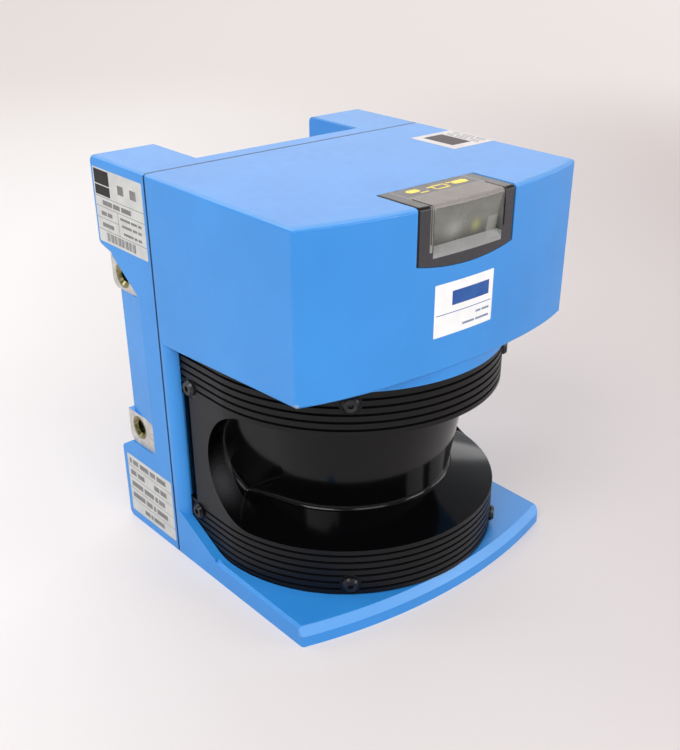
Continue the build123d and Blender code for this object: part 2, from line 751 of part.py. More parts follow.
# Optics cover: two ribbed rings, the flare and the conical window in one moulding
comb = [(COVER_R, COVER_LOW)]
groove_heights = [
    RECESS_LOW - GROOVE_EDGE - (LOWER_GROOVES - 1 - i) * GROOVE_PITCH for i in range(LOWER_GROOVES)
] + [RECESS_TOP + GROOVE_EDGE + i * GROOVE_PITCH for i in range(UPPER_GROOVES)]
for z in groove_heights:
    comb += [
        (COVER_R, z - GROOVE_W / 2),
        (COVER_R - GROOVE_DEPTH, z - GROOVE_W / 4),
        (COVER_R - GROOVE_DEPTH, z + GROOVE_W / 4),
        (COVER_R, z + GROOVE_W / 2),
    ]
comb.append((COVER_R, COVER_TOP))
with BuildPart() as cover_hollow:
    with BuildSketch(Plane.XY.offset(COVER_LOW - 1)):
        add(cover_plan(-COVER_WALL, COVER_BACK + 1))
    extrude(amount=COVER_H + 2)
    add(recess(COVER_WALL, 0), mode=Mode.SUBTRACT)

with BuildPart() as optics_cover:
    with BuildSketch(Plane.XZ.offset(-AXIS_Y)):
        with BuildLine():
            Polyline((0, COVER_LOW), *comb, (0, COVER_TOP), (0, COVER_LOW))
        make_face()
    revolve(axis=Axis((0, AXIS_Y, 0), (0, 0, -1)), revolution_arc=180)
    with BuildSketch(Plane.XZ.offset(-AXIS_Y)):
        with BuildLine():
            Polyline(*comb, *[(-x, z) for x, z in reversed(comb)], comb[0])
        make_face()
    extrude(amount=-(COVER_BACK - AXIS_Y))

    # Flat seats of the screws, then the recess and the hollow inside
    for plane in COVER_SCREW_PLANES:
        with BuildSketch(plane.offset(-SEAT_SINK)):
            Circle(COVER_SEAT_D / 2)
        extrude(amount=-GROOVE_DEPTH - SEAT_SINK)
        with BuildSketch(plane.offset(-SEAT_SINK)):
            Circle(COVER_SEAT_D / 2)
        extrude(amount=1, mode=Mode.SUBTRACT)
    add(recess(0, WINDOW_FILLET), mode=Mode.SUBTRACT)
    add(cover_hollow.part, mode=Mode.SUBTRACT)

    # The side panels step in behind the screws
    step_low = SIDE_LOWER_Z + COVER_SEAT_D / 2
    step_high = SIDE_UPPER_Z - COVER_SEAT_D / 2
    for side in (-1, 1):
        with Locations(
            (side * COVER_R, (REAR_STEP_Y + COVER_BACK + 1) / 2, (step_low + step_high) / 2)
        ):
            Box(
                2 * REAR_STEP,
                COVER_BACK + 1 - REAR_STEP_Y,
                step_high - step_low,
                mode=Mode.SUBTRACT,
            )
    for plane in COVER_SCREW_PLANES:
        with BuildSketch(plane.offset(1)):
            Circle(COVER_SCREW_D / 2 + SCREW_FIT)
        extrude(amount=-COVER_WALL - 3, mode=Mode.SUBTRACT)
optics_cover.part.label = "optics_cover"
export_step(optics_cover.part, "parts/optics_cover.step")

# Seal between the cover and the housing: above, below and up both rear edges
seal_in = COVER_WALL - SEAL_BAND
with BuildPart() as cover_seal:
    for z in (BASE_H, COVER_TOP):
        with BuildSketch(Plane.XY.offset(z)):
            add(rim_plan(seal_in, seal_in + SEAL_BAND, COVER_BACK))
        extrude(amount=SEAL_T)
cover_seal.part.label = "cover_seal"
export_step(cover_seal.part, "parts/cover_seal.step")

# Button-head screws of the cover
with BuildPart() as cover_screws:
    for plane in COVER_SCREW_PLANES:
        with BuildSketch(plane.offset(-SEAT_SINK)):
            Circle(COVER_SCREW_HEAD_D / 2)
        extrude(amount=COVER_HEAD_RIM)
        with BuildSketch(plane.offset(-SEAT_SINK + COVER_HEAD_RIM)):
            Circle(COVER_SCREW_HEAD_D / 2)
        extrude(amount=COVER_SCREW_HEAD_H - COVER_HEAD_RIM, taper=COVER_HEAD_TAPER)
        with BuildSketch(plane.offset(-SEAT_SINK)):
            Circle(COVER_SCREW_D / 2)
        extrude(amount=-COVER_SCREW_L + 0.5)
        with BuildSketch(plane.offset(-SEAT_SINK + COVER_SCREW_HEAD_H)):
            RegularPolygon(COVER_SOCKET_R, 6)
        extrude(amount=-COVER_SOCKET_DEPTH, mode=Mode.SUBTRACT)
cover_screws.part.label = "cover_screws"
export_step(cover_screws.part, "parts/cover_screws.step")

# Indicator window: a tinted shell over the hood's front edge, with a tilted lens face
with BuildPart() as indicator_window:
    with BuildSketch():
        add(bowed_plan(0, SEAM_Y))
    extrude(amount=HEIGHT)
    with BuildSketch(Plane.XZ.offset(LENS_GAP - LENS_BACK_Y)):
        add(window_face(LENS_GAP))
    extrude(amount=2 * OUTSIDE, mode=Mode.INTERSECT)
    fillet(indicator_window.edges().filter_by(Axis.Z).group_by(Axis.Y)[0], LENS_EDGE_R)
    top_rim = indicator_window.edges().group_by(Axis.Z)[-1]
    fillet(top_rim.filter_by_position(Axis.Y, -DEPTH, FRONT_Y + EDGE_R + LENS_EDGE_R), EDGE_R)
    add(window_hollow(), mode=Mode.SUBTRACT)
    add(window_slots(), mode=Mode.SUBTRACT)
    with BuildSketch(Plane.YZ.offset(-DIP_HALF)):
        with BuildLine():
            Polyline(
                (FRONT_Y - 1, DIP_TOP[1]),
                DIP_TOP,
                DIP_LOW,
                (FRONT_Y - 1, DIP_SILL_Z),
                (FRONT_Y - 1, DIP_TOP[1]),
            )
        make_face()
    extrude(amount=2 * DIP_HALF, mode=Mode.SUBTRACT)
indicator_window.part.label = "indicator_window"
export_step(indicator_window.part, "parts/indicator_window.step")

# Rear housing: ears, feet, thread bosses and the connector recess in one casting
with BuildPart() as rear_housing:
    with BuildSketch(Plane.YZ.offset(-HALF)):
        with BuildLine():
            Polyline(
                (REAR_FRONT, 0),
                (REAR_Y, 0),
                (REAR_Y, FOOT_TOP_Z),
                (MID_Y, FOOT_SLOPE_Z),
                (MID_Y, EAR_SLOPE_Z),
                (REAR_Y, EAR_LOW_Z),
                (REAR_Y, HEIGHT),
                (REAR_FRONT, HEIGHT),
                (REAR_FRONT, 0),
            )
        make_face()
        fillet(vertices().group_by(Axis.X)[-1], 3.2)
    extrude(amount=WIDTH)

    # Slot between the ears with the connector recess, and the lower one between the feet
    with Locations((0, RECESS_FLOOR_Y + OUTSIDE, (RECESS_SILL_Z + HEIGHT + OUTSIDE) / 2)):
        Box(2 * EAR_IN, 2 * OUTSIDE, HEIGHT + OUTSIDE - RECESS_SILL_Z, mode=Mode.SUBTRACT)
    with Locations((0, MID_Y + OUTSIDE, RECESS_SILL_Z / 2)):
        Box(2 * EAR_IN, 2 * OUTSIDE, 2 * RECESS_SILL_Z, mode=Mode.SUBTRACT)
    top_sides = rear_housing.edges().filter_by(Axis.Y).group_by(Axis.Z)[-1]
    fillet(top_sides.filter_by(lambda e: abs(e.center().X) > SIDE_OUT), EDGE_R)

    # The sides taper in behind TAPER_Y between foot and ear
    for side in (-1, 1):
        with BuildSketch(Plane.XY.offset(FOOT_SLOPE_Z)):
            with BuildLine():
                Polyline(
                    (side * HALF, TAPER_Y),
                    (side * (HALF + 5), TAPER_Y),
                    (side * (HALF + 5), REAR_Y + 1),
                    (side * (HALF - TAPER_IN * (REAR_Y + 1 - TAPER_Y) / (MID_Y - TAPER_Y)), REAR_Y + 1),
                    (side * HALF, TAPER_Y),
                )
            make_face()
        extrude(amount=EAR_SLOPE_Z - FOOT_SLOPE_Z, mode=Mode.SUBTRACT)

    # Thread bosses with their machined pads, set in from the sides
    for side in (-1, 1):
        pad_plane = Plane((side * PAD_X, 0, 0), x_dir=(0, 1, 0), z_dir=(1, 0, 0))
        with BuildSketch(pad_plane):
            add(pad_outline(UPPER_PAD_LOW_Z, PAD_TOP_Z))
            add(pad_outline(LOWER_PAD_LOW_Z, LOWER_PAD_TOP_Z))
        extrude(amount=-side * (INSERT_L + 2))

        # The corner over the upper pad stays flush with the side
        with BuildSketch(pad_plane):
            add(flush_corner())
        extrude(amount=side * PAD_IN)
        with BuildSketch(pad_plane):
            add(pad_outline(UPPER_PAD_LOW_Z, PAD_TOP_Z))
            add(flush_corner(), mode=Mode.SUBTRACT)
            add(pad_outline(LOWER_PAD_LOW_Z, LOWER_PAD_TOP_Z))
        extrude(amount=side * TAPER_IN * 2, mode=Mode.SUBTRACT)

    # Cavity: the lower space, and beside the recess up into the ears
    cavity_back = MID_Y - WALL
    with Locations((0, (SEAM_Y + cavity_back) / 2, (WALL + RECESS_SILL_Z - WALL) / 2)):
        Box(
            2 * SIDE_OUT,
            cavity_back - SEAM_Y,
            RECESS_SILL_Z - 2 * WALL,
            mode=Mode.SUBTRACT,
        )
    side_low = RECESS_SILL_Z - WALL - 1
    for side in (-1, 1):
        with Locations(
            (
                side * (EAR_IN + WALL + SIDE_OUT) / 2,
                (SEAM_Y + cavity_back) / 2,
                (side_low + HEIGHT - WALL) / 2,
            )
        ):
            Box(
                SIDE_OUT - EAR_IN - WALL,
                cavity_back - SEAM_Y,
                HEIGHT - WALL - side_low,
                mode=Mode.SUBTRACT,
            )
    floor_in = RECESS_FLOOR_Y - WALL
    with Locations((0, (SEAM_Y + floor_in) / 2, (side_low + HEIGHT - WALL) / 2)):
        Box(
            2 * (EAR_IN + WALL) + 1,
            floor_in - SEAM_Y,
            HEIGHT - WALL - side_low,
            mode=Mode.SUBTRACT,
        )

    # Bosses inside for the threaded inserts, the housing screws and the power board
    for side in (-1, 1):
        with BuildSketch(Plane((side * SIDE_OUT, 0, 0), x_dir=(0, 1, 0), z_dir=(1, 0, 0))):
            with Locations(*INSERTS):
                Circle(INSERT_BOSS_D / 2)
        extrude(amount=-side * (INSERT_L + 2 + SIDE_OUT - PAD_X))
    for x, z in HOUSING_SCREWS:
        centre, size = housing_boss(x, z)
        with BuildSketch(Plane.XZ.offset(-REAR_FRONT)):
            with Locations(centre):
                Rectangle(*size)
        extrude(amount=-(cavity_back + 1 - REAR_FRONT))
    with BuildSketch(Plane.XZ.offset(-cavity_back - 1)):
        with Locations(*POWER_POSTS):
            Circle(POST_D / 2)
    extrude(amount=cavity_back + 1 - POWER_Y - BOARD_T)

    # Holes for the inserts, the screws and the connectors
    for side in (-1, 1):
        with BuildSketch(Plane((side * PAD_X, 0, 0), x_dir=(0, 1, 0), z_dir=(1, 0, 0))):
            with Locations(*INSERTS):
                Circle(INSERT_D / 2)
        extrude(amount=-side * INSERT_L, mode=Mode.SUBTRACT)
    with BuildSketch(Plane.XZ.offset(-SEAM_Y)):
        with Locations(*HOUSING_SCREWS):
            Circle(HOUSING_HOLE_D / 2)
    extrude(amount=-REAR_Y, mode=Mode.SUBTRACT)
    with BuildSketch(Plane.XZ.offset(-HOUSING_HEAD_Y)):
        with Locations(*HOUSING_SCREWS):
            Circle(HOUSING_POCKET_D / 2)
    extrude(amount=-REAR_Y, mode=Mode.SUBTRACT)
    with BuildSketch(Plane.XZ.offset(-POWER_Y - BOARD_T)):
        with Locations(*POWER_POSTS):
            Circle((M3_D + SCREW_FIT) / 2)
    extrude(amount=-M3_L, mode=Mode.SUBTRACT)
    for side, shell_w, _, pitch, _ in CONNECTORS.values():
        with BuildSketch(Plane.XZ.offset(-RECESS_FLOOR_Y)):
            with Locations((side * CONNECTOR_X, CONNECTOR_Z)):
                Rectangle(shell_w + 1, SHELL_H + 1)
            for end in (-1, 1):
                with Locations((side * CONNECTOR_X + end * pitch / 2, CONNECTOR_Z)):
                    Circle(JACK_HOLE_D / 2 + SCREW_FIT)
        extrude(amount=2 * WALL, mode=Mode.SUBTRACT)
rear_housing.part.label = "rear_housing"
export_step(rear_housing.part, "parts/rear_housing.step")

# Gasket in the joint of the two castings
with BuildPart() as housing_gasket:
    with BuildSketch(Plane.XZ.offset(-FRONT_BACK)):
        with Locations((0, HEIGHT / 2)):
            RectangleRounded(WIDTH - 2 * GASKET_INSET, HEIGHT - 2 * GASKET_INSET, EDGE_R)
            inset = GASKET_INSET + GASKET_BAND
            Rectangle(WIDTH - 2 * inset, HEIGHT - 2 * inset, mode=Mode.SUBTRACT)
    extrude(amount=-GASKET_T)
housing_gasket.part.label = "housing_gasket"
export_step(housing_gasket.part, "parts/housing_gasket.step")

# Threaded inserts in the side pads
with BuildPart() as thread_inserts:
    for side in (-1, 1):
        with BuildSketch(Plane((side * PAD_X, 0, 0), x_dir=(0, 1, 0), z_dir=(1, 0, 0))):
            with Locations(*INSERTS):
                Circle(INSERT_D / 2)
                Circle(INSERT_BORE / 2, mode=Mode.SUBTRACT)
        extrude(amount=-side * INSERT_L)
    mouths = thread_inserts.edges().filter_by(GeomType.CIRCLE).filter_by(
        lambda e: e.radius < INSERT_D / 2 - 1 and abs(e.center().X) > PAD_X - 1
    )
    chamfer(mouths, INSERT_CHAMFER)
thread_inserts.part.label = "thread_inserts"
export_step(thread_inserts.part, "parts/thread_inserts.step")

# Cap screws that hold the two castings together
with BuildPart() as housing_screws:
    with BuildSketch(Plane.XZ.offset(-HOUSING_HEAD_Y)):
        with Locations(*HOUSING_SCREWS):
            Circle(HOUSING_HEAD_D / 2)
    extrude(amount=-HOUSING_HEAD_H)
    with BuildSketch(Plane.XZ.offset(-HOUSING_HEAD_Y)):
        with Locations(*HOUSING_SCREWS):
            Circle(HOUSING_SCREW_D / 2)
    extrude(amount=HOUSING_SCREW_L)
    with BuildSketch(Plane.XZ.offset(-HOUSING_HEAD_Y - HOUSING_HEAD_H)):
        with Locations(*HOUSING_SCREWS):
            RegularPolygon(HOUSING_SOCKET_R, 6)
    extrude(amount=HOUSING_HEAD_H / 2, mode=Mode.SUBTRACT)
housing_screws.part.label = "housing_screws"
export_step(housing_screws.part, "parts/housing_screws.step")

# Motor: base plate with the lower bearing seat
with BuildPart() as motor_base:
    with BuildSketch(Plane.XY.offset(BASE_H)):
        with Locations((0, AXIS_Y)):
            Circle(FLANGE_D / 2)
        with Locations(*MOTOR_SCREWS):
            Circle((M3_D + 2 * SCREW_FIT) / 2, mode=Mode.SUBTRACT)
    extrude(amount=FLANGE_T)
    with BuildSketch(Plane.XY.offset(BASE_H)):
        with Locations((0, AXIS_Y)):
            Circle(HUB_D / 2)
    extrude(amount=LOWER_BEARING_Z + BEARING_W - BASE_H)
    with BuildSketch(Plane.XY.offset(LOWER_BEARING_Z)):
        with Locations((0, AXIS_Y)):
            Circle(BEARING_D / 2 + FIT)
    extrude(amount=BEARING_W, mode=Mode.SUBTRACT)
    with BuildSketch(Plane.XY.offset(SHAFT_LOW_Z - 1)):
        with Locations((0, AXIS_Y)):
            Circle(SHAFT_D / 2 + 1)
    extrude(amount=BEARING_W, mode=Mode.SUBTRACT)
motor_base.part.label = "motor_base"
export_step(motor_base.part, "parts/motor_base.step")

# Motor cup with the upper bearing seat in its web
with BuildPart() as motor_cup:
    with BuildSketch(Plane.XY.offset(CUP_LOW)):
        with Locations((0, AXIS_Y)):
            Circle(CUP_D / 2)
    extrude(amount=CUP_H)
    with BuildSketch(Plane.XY.offset(CUP_LOW)):
        with Locations((0, AXIS_Y)):
            Circle(BELL_IN)
    extrude(amount=CUP_H - CUP_WEB, mode=Mode.SUBTRACT)
    with BuildSketch(Plane.XY.offset(CUP_LOW)):
        with Locations((0, AXIS_Y)):
            Circle(BEARING_D / 2 + FIT)
    extrude(amount=CUP_H, mode=Mode.SUBTRACT)
    fillet(motor_cup.edges().group_by(Axis.Z)[-1].sort_by(SortBy.LENGTH)[-1], 1.5)
motor_cup.part.label = "motor_cup"
export_step(motor_cup.part, "parts/motor_cup.step")

with BuildPart() as motor_bearings:
    for z in (LOWER_BEARING_Z, CUP_TOP - BEARING_W):
        with BuildSketch(Plane.XY.offset(z)):
            with Locations((0, AXIS_Y)):
                Circle(BEARING_D / 2)
                Circle(SHAFT_D / 2 + RUN_GAP, mode=Mode.SUBTRACT)
        extrude(amount=BEARING_W)
motor_bearings.part.label = "motor_bearings"
export_step(motor_bearings.part, "parts/motor_bearings.step")

# Stator: a laminated ring with slots for the windings
with BuildPart() as motor_stator:
    with BuildSketch(Plane.XY.offset(STATOR_Z)):
        with Locations((0, AXIS_Y)):
            Circle(BELL_IN - FIT)
            Circle(STATOR_IN_D / 2, mode=Mode.SUBTRACT)
            with PolarLocations((STATOR_IN_D / 2 + BELL_IN) / 2, STATOR_TEETH):
                Rectangle(STATOR_SLOT, STATOR_SLOT / 2, mode=Mode.SUBTRACT)
    extrude(amount=STATOR_H)
motor_stator.part.label = "motor_stator"
export_step(motor_stator.part, "parts/motor_stator.step")

with BuildPart() as motor_board:
    with BuildSketch(Plane.XY.offset(MOTOR_BOARD_Z)):
        with Locations((0, AXIS_Y)):
            Circle(MOTOR_BOARD_R)
            Circle(CUP_D / 2 + 1, mode=Mode.SUBTRACT)
        with Locations(*MOTOR_POSTS):
            Circle((M3_D + 2 * SCREW_FIT) / 2, mode=Mode.SUBTRACT)
    extrude(amount=BOARD_T)
motor_board.part.label = "motor_board"
export_step(motor_board.part, "parts/motor_board.step")

# Sensor that reads the encoder disc between its jaws
with BuildPart() as encoder_sensor:
    with BuildSketch(Plane.XZ.offset(-AXIS_Y - SENSOR_W / 2)):
        with BuildLine():
            Polyline(
                (CUP_D / 2 + 4, MOTOR_BOARD_Z + BOARD_T),
                (SENSOR_OUT, MOTOR_BOARD_Z + BOARD_T),
                (SENSOR_OUT, DISC_Z + DISC_T + SENSOR_GAP + SENSOR_JAW),
                (SENSOR_IN, DISC_Z + DISC_T + SENSOR_GAP + SENSOR_JAW),
                (SENSOR_IN, DISC_Z + DISC_T + SENSOR_GAP),
                (DISC_R + SENSOR_GAP, DISC_Z + DISC_T + SENSOR_GAP),
                (DISC_R + SENSOR_GAP, DISC_Z - SENSOR_GAP),
                (SENSOR_IN, DISC_Z - SENSOR_GAP),
                (SENSOR_IN, DISC_Z - SENSOR_GAP - SENSOR_JAW),
                (CUP_D / 2 + 4, DISC_Z - SENSOR_GAP - SENSOR_JAW),
                (CUP_D / 2 + 4, MOTOR_BOARD_Z + BOARD_T),
            )
        make_face()
    extrude(amount=SENSOR_W)
encoder_sensor.part.label = "encoder_sensor"
export_step(encoder_sensor.part, "parts/encoder_sensor.step")

# Rotor: shaft, magnet, encoder disc, carrier and mirror turn together
with BuildPart() as motor_shaft:
    with BuildSketch(Plane.XY.offset(SHAFT_LOW_Z)):
        with Locations((0, AXIS_Y)):
            Circle(SHAFT_D / 2)
    extrude(amount=SHAFT_TOP_Z - SHAFT_LOW_Z)
motor_shaft.part.label = "motor_shaft"
export_step(motor_shaft.part, "parts/motor_shaft.step")

with BuildPart() as rotor_magnet:
    with BuildSketch(Plane.XY.offset(STATOR_Z + (STATOR_H - MAGNET_H) / 2)):
        with Locations((0, AXIS_Y)):
            Circle(STATOR_IN_D / 2 - AIR_GAP)
            Circle(SHAFT_D / 2, mode=Mode.SUBTRACT)
    extrude(amount=MAGNET_H)
rotor_magnet.part.label = "rotor_magnet"
export_step(rotor_magnet.part, "parts/rotor_magnet.step")

with BuildPart() as encoder_disc:
    with BuildSketch(Plane.XY.offset(DISC_Z)):
        with Locations((0, AXIS_Y)):
            Circle(DISC_R)
            Circle(SHAFT_D / 2, mode=Mode.SUBTRACT)
    extrude(amount=DISC_T)
encoder_disc.part.label = "encoder_disc"
export_step(encoder_disc.part, "parts/encoder_disc.step")

foot_z = DISC_Z + DISC_T
with BuildPart() as mirror_carrier:
    with BuildSketch(Plane.XY.offset(foot_z)):
        with Locations((0, AXIS_Y)):
            Circle(CARRIER_FOOT_D / 2)
    extrude(amount=CARRIER_FOOT_H)
    with BuildSketch(Plane.XY.offset(foot_z + CARRIER_FOOT_H)):
        with Locations((0, AXIS_Y)):
            Circle(MIRROR_R)
    extrude(amount=MIRROR_Z + MIRROR_R - foot_z - CARRIER_FOOT_H)
    with BuildSketch(Plane.YZ.offset(-MIRROR_R)):
        with BuildLine():
            reach = MIRROR_R + 1
            Polyline(
                (AXIS_Y - reach, MIRROR_Z - reach),
                (AXIS_Y + reach, MIRROR_Z + reach),
                (AXIS_Y - reach, MIRROR_Z + reach),
                (AXIS_Y - reach, MIRROR_Z - reach),
            )
        make_face()
    extrude(amount=2 * MIRROR_R, mode=Mode.SUBTRACT)
    with BuildSketch(Plane.XY.offset(foot_z)):
        with Locations((0, AXIS_Y)):
            Circle(SHAFT_D / 2)
    extrude(amount=SHAFT_TOP_Z - foot_z, mode=Mode.SUBTRACT)
mirror_carrier.part.label = "mirror_carrier"
export_step(mirror_carrier.part, "parts/mirror_carrier.step")

mirror_rise = MIRROR_T * math.sqrt(2)
with BuildPart() as mirror:
    with BuildSketch(Plane.XY.offset(MIRROR_Z - MIRROR_R)):
        with Locations((0, AXIS_Y)):
            Circle(MIRROR_R)
    extrude(amount=2 * MIRROR_R + mirror_rise)
    with BuildSketch(Plane.YZ.offset(-MIRROR_R)):
        with BuildLine():
            Polyline(
                (AXIS_Y - MIRROR_R, MIRROR_Z - MIRROR_R),
                (AXIS_Y + MIRROR_R, MIRROR_Z + MIRROR_R),
                (AXIS_Y + MIRROR_R, MIRROR_Z + MIRROR_R + mirror_rise),
                (AXIS_Y - MIRROR_R, MIRROR_Z - MIRROR_R + mirror_rise),
                (AXIS_Y - MIRROR_R, MIRROR_Z - MIRROR_R),
            )
        make_face()
    extrude(amount=2 * MIRROR_R, mode=Mode.INTERSECT)
mirror.part.label = "mirror"
export_step(mirror.part, "parts/mirror.step")

# Lens tube: hangs through the hood floor and holds lens, laser barrel and fold mirror
with BuildPart() as lens_tube:
    with BuildSketch(Plane.XY.offset(HOOD_FLOOR)):
        add(ear_plate())
    extrude(amount=FLANGE_T)
    with BuildSketch(Plane.XY.offset(TUBE_LOW_Z)):
        with Locations((0, AXIS_Y)):
            Circle(TUBE_R)
    extrude(amount=TUBE_TOP - TUBE_LOW_Z)
    with BuildSketch(Plane.XY.offset(TUBE_LOW_Z)):
        with Locations((0, AXIS_Y)):
            Circle(LENS_LEDGE_IN)
    extrude(amount=TUBE_TOP - TUBE_LOW_Z, mode=Mode.SUBTRACT)
    with BuildSketch(Plane.XY.offset(LENS_SEAT_Z)):
        with Locations((0, AXIS_Y)):
            Circle(TUBE_R - TUBE_WALL)
    extrude(amount=TUBE_TOP - LENS_SEAT_Z, mode=Mode.SUBTRACT)

    # Boss of the laser barrel and the arm that carries the fold mirror
    with BuildSketch(Plane.XZ.offset(-BARREL_Y[0] - 1)):
        with Locations((0, BARREL_Z)):
            Circle(BARREL_BOSS_D / 2)
    extrude(amount=-(AXIS_Y + TUBE_R - 1 - BARREL_Y[0] - 1))
    fold_rise = FOLD_T * math.sqrt(2)
    arm_top = LENS_SEAT_Z - 1
    with BuildSketch(Plane.YZ.offset(-FOLD_ARM / 2)):
        with BuildLine():
            Polyline(
                (AXIS_Y - FOLD_SIZE / 2, BARREL_Z - FOLD_SIZE / 2 + fold_rise),
                (AXIS_Y + FOLD_SIZE / 2, BARREL_Z + FOLD_SIZE / 2 + fold_rise),
                (BARREL_Y[0] + 6, BARREL_Z + FOLD_SIZE / 2 + fold_rise),
                (BARREL_Y[0] + 6, arm_top),
                (AXIS_Y - FOLD_SIZE / 2 - 2, arm_top),
                (AXIS_Y - FOLD_SIZE / 2 - 2, BARREL_Z - FOLD_SIZE / 2 + fold_rise),
                (AXIS_Y - FOLD_SIZE / 2, BARREL_Z - FOLD_SIZE / 2 + fold_rise),
            )
        make_face()
    extrude(amount=FOLD_ARM)
    with BuildSketch(Plane.XZ.offset(-BARREL_Y[0])):
        with Locations((0, BARREL_Z)):
            Circle(BARREL_D / 2 + FIT)
    extrude(amount=-(BARREL_Y[1] - BARREL_Y[0]), mode=Mode.SUBTRACT)
lens_tube.part.label = "lens_tube"
export_step(lens_tube.part, "parts/lens_tube.step")

with BuildPart() as fold_mirror:
    with BuildSketch(Plane.YZ.offset(-FOLD_ARM / 2)):
        with BuildLine():
            Polyline(
                (AXIS_Y - FOLD_SIZE / 2, BARREL_Z - FOLD_SIZE / 2),
                (AXIS_Y + FOLD_SIZE / 2, BARREL_Z + FOLD_SIZE / 2),
                (AXIS_Y + FOLD_SIZE / 2, BARREL_Z + FOLD_SIZE / 2 + fold_rise),
                (AXIS_Y - FOLD_SIZE / 2, BARREL_Z - FOLD_SIZE / 2 + fold_rise),
                (AXIS_Y - FOLD_SIZE / 2, BARREL_Z - FOLD_SIZE / 2),
            )
        make_face()
    extrude(amount=FOLD_ARM)
fold_mirror.part.label = "fold_mirror"
export_step(fold_mirror.part, "parts/fold_mirror.step")

with BuildPart() as receiver_lens:
    with BuildSketch(Plane.XZ.offset(-AXIS_Y)):
        with BuildLine():
            rim = TUBE_R - TUBE_WALL - FIT
            crown = LENS_SEAT_Z + LENS_EDGE + LENS_BULGE
            bulge_r = rim - LENS_RIM
            swell = (bulge_r**2 + LENS_BULGE**2) / (2 * LENS_BULGE)
            half_r = bulge_r / 2
            half_z = crown - swell + math.sqrt(swell**2 - half_r**2)
            Polyline(
                (0, crown),
                (0, LENS_SEAT_Z),
                (rim, LENS_SEAT_Z),
                (rim, LENS_SEAT_Z + LENS_EDGE),
                (bulge_r, LENS_SEAT_Z + LENS_EDGE),
            )
            ThreePointArc((bulge_r, LENS_SEAT_Z + LENS_EDGE), (half_r, half_z), (0, crown))
        make_face()
    revolve(axis=AXIS)
receiver_lens.part.label = "receiver_lens"
export_step(receiver_lens.part, "parts/receiver_lens.step")

with BuildPart() as lens_ring:
    with BuildSketch(Plane.XY.offset(LENS_SEAT_Z + LENS_EDGE)):
        with Locations((0, AXIS_Y)):
            Circle(TUBE_R - TUBE_WALL - FIT)
            Circle(TUBE_R - TUBE_WALL - LENS_RIM, mode=Mode.SUBTRACT)
    extrude(amount=RING_T)
lens_ring.part.label = "lens_ring"
export_step(lens_ring.part, "parts/lens_ring.step")

with BuildPart() as laser_barrel:
    with BuildSketch(Plane.XZ.offset(-BARREL_Y[0])):
        with Locations((0, BARREL_Z)):
            Circle(BARREL_D / 2)
            Circle(BARREL_BORE / 2, mode=Mode.SUBTRACT)
    extrude(amount=-(BARREL_Y[1] - BARREL_Y[0]))
laser_barrel.part.label = "laser_barrel"
export_step(laser_barrel.part, "parts/laser_barrel.step")

with BuildPart() as collimator_lens:
    with BuildSketch(Plane.XZ.offset(-BARREL_Y[0] - 1)):
        with Locations((0, BARREL_Z)):
            Circle(BARREL_BORE / 2 - FIT)
    extrude(amount=-COLLIMATOR_T)
collimator_lens.part.label = "collimator_lens"
export_step(collimator_lens.part, "parts/collimator_lens.step")

with BuildPart() as laser_diode:
    with BuildSketch(Plane.XZ.offset(-BARREL_Y[1])):
        with Locations((0, BARREL_Z)):
            Circle(DIODE_STEM_D / 2)
    extrude(amount=-1.5)
    with BuildSketch(Plane.XZ.offset(-BARREL_Y[1])):
        with Locations((0, BARREL_Z)):
            Circle(DIODE_CAN_D / 2)
    extrude(amount=DIODE_CAN_D)
laser_diode.part.label = "laser_diode"
export_step(laser_diode.part, "parts/laser_diode.step")

# Receiver: dark cone, diode and its board
with BuildPart() as receiver_cone:
    with BuildSketch(Plane.XZ.offset(-AXIS_Y)):
        with BuildLine():
            Polyline(
                (TUBE_R - TUBE_WALL, TUBE_TOP),
                (CONE_FOOT_R + CONE_WALL, TUBE_TOP),
                (CONE_FOOT_R + CONE_WALL, TUBE_TOP + CONE_WALL),
                (CONE_TOP_R, CONE_TOP_Z),
                (APERTURE_D / 2, CONE_TOP_Z),
                (APERTURE_D / 2, CONE_TOP_Z - CONE_WALL - 1),
                (CONE_TOP_R - 1.5 * CONE_WALL, CONE_TOP_Z - CONE_WALL - 1),
                (TUBE_R - TUBE_WALL, TUBE_TOP),
            )
        make_face()
    revolve(axis=AXIS)
    with BuildSketch(Plane.XY.offset(TUBE_TOP)):
        add(ear_plate())
        with Locations((0, AXIS_Y)):
            Circle(TUBE_R - TUBE_WALL, mode=Mode.SUBTRACT)
    extrude(amount=CONE_WALL)
receiver_cone.part.label = "receiver_cone"
export_step(receiver_cone.part, "parts/receiver_cone.step")

with BuildPart() as receiver_diode:
    with BuildSketch(Plane.XY.offset(CONE_TOP_Z)):
        with Locations((0, AXIS_Y)):
            Circle(APERTURE_D / 2 - FIT)
    extrude(amount=-CONE_WALL)
receiver_diode.part.label = "receiver_diode"
export_step(receiver_diode.part, "parts/receiver_diode.step")

with BuildPart() as receiver_board:
    with BuildSketch(Plane.XY.offset(CONE_TOP_Z)):
        with Locations((0, AXIS_Y)):
            Rectangle(*RECEIVER_BOARD)
    extrude(amount=BOARD_T)
receiver_board.part.label = "receiver_board"
export_step(receiver_board.part, "parts/receiver_board.step")

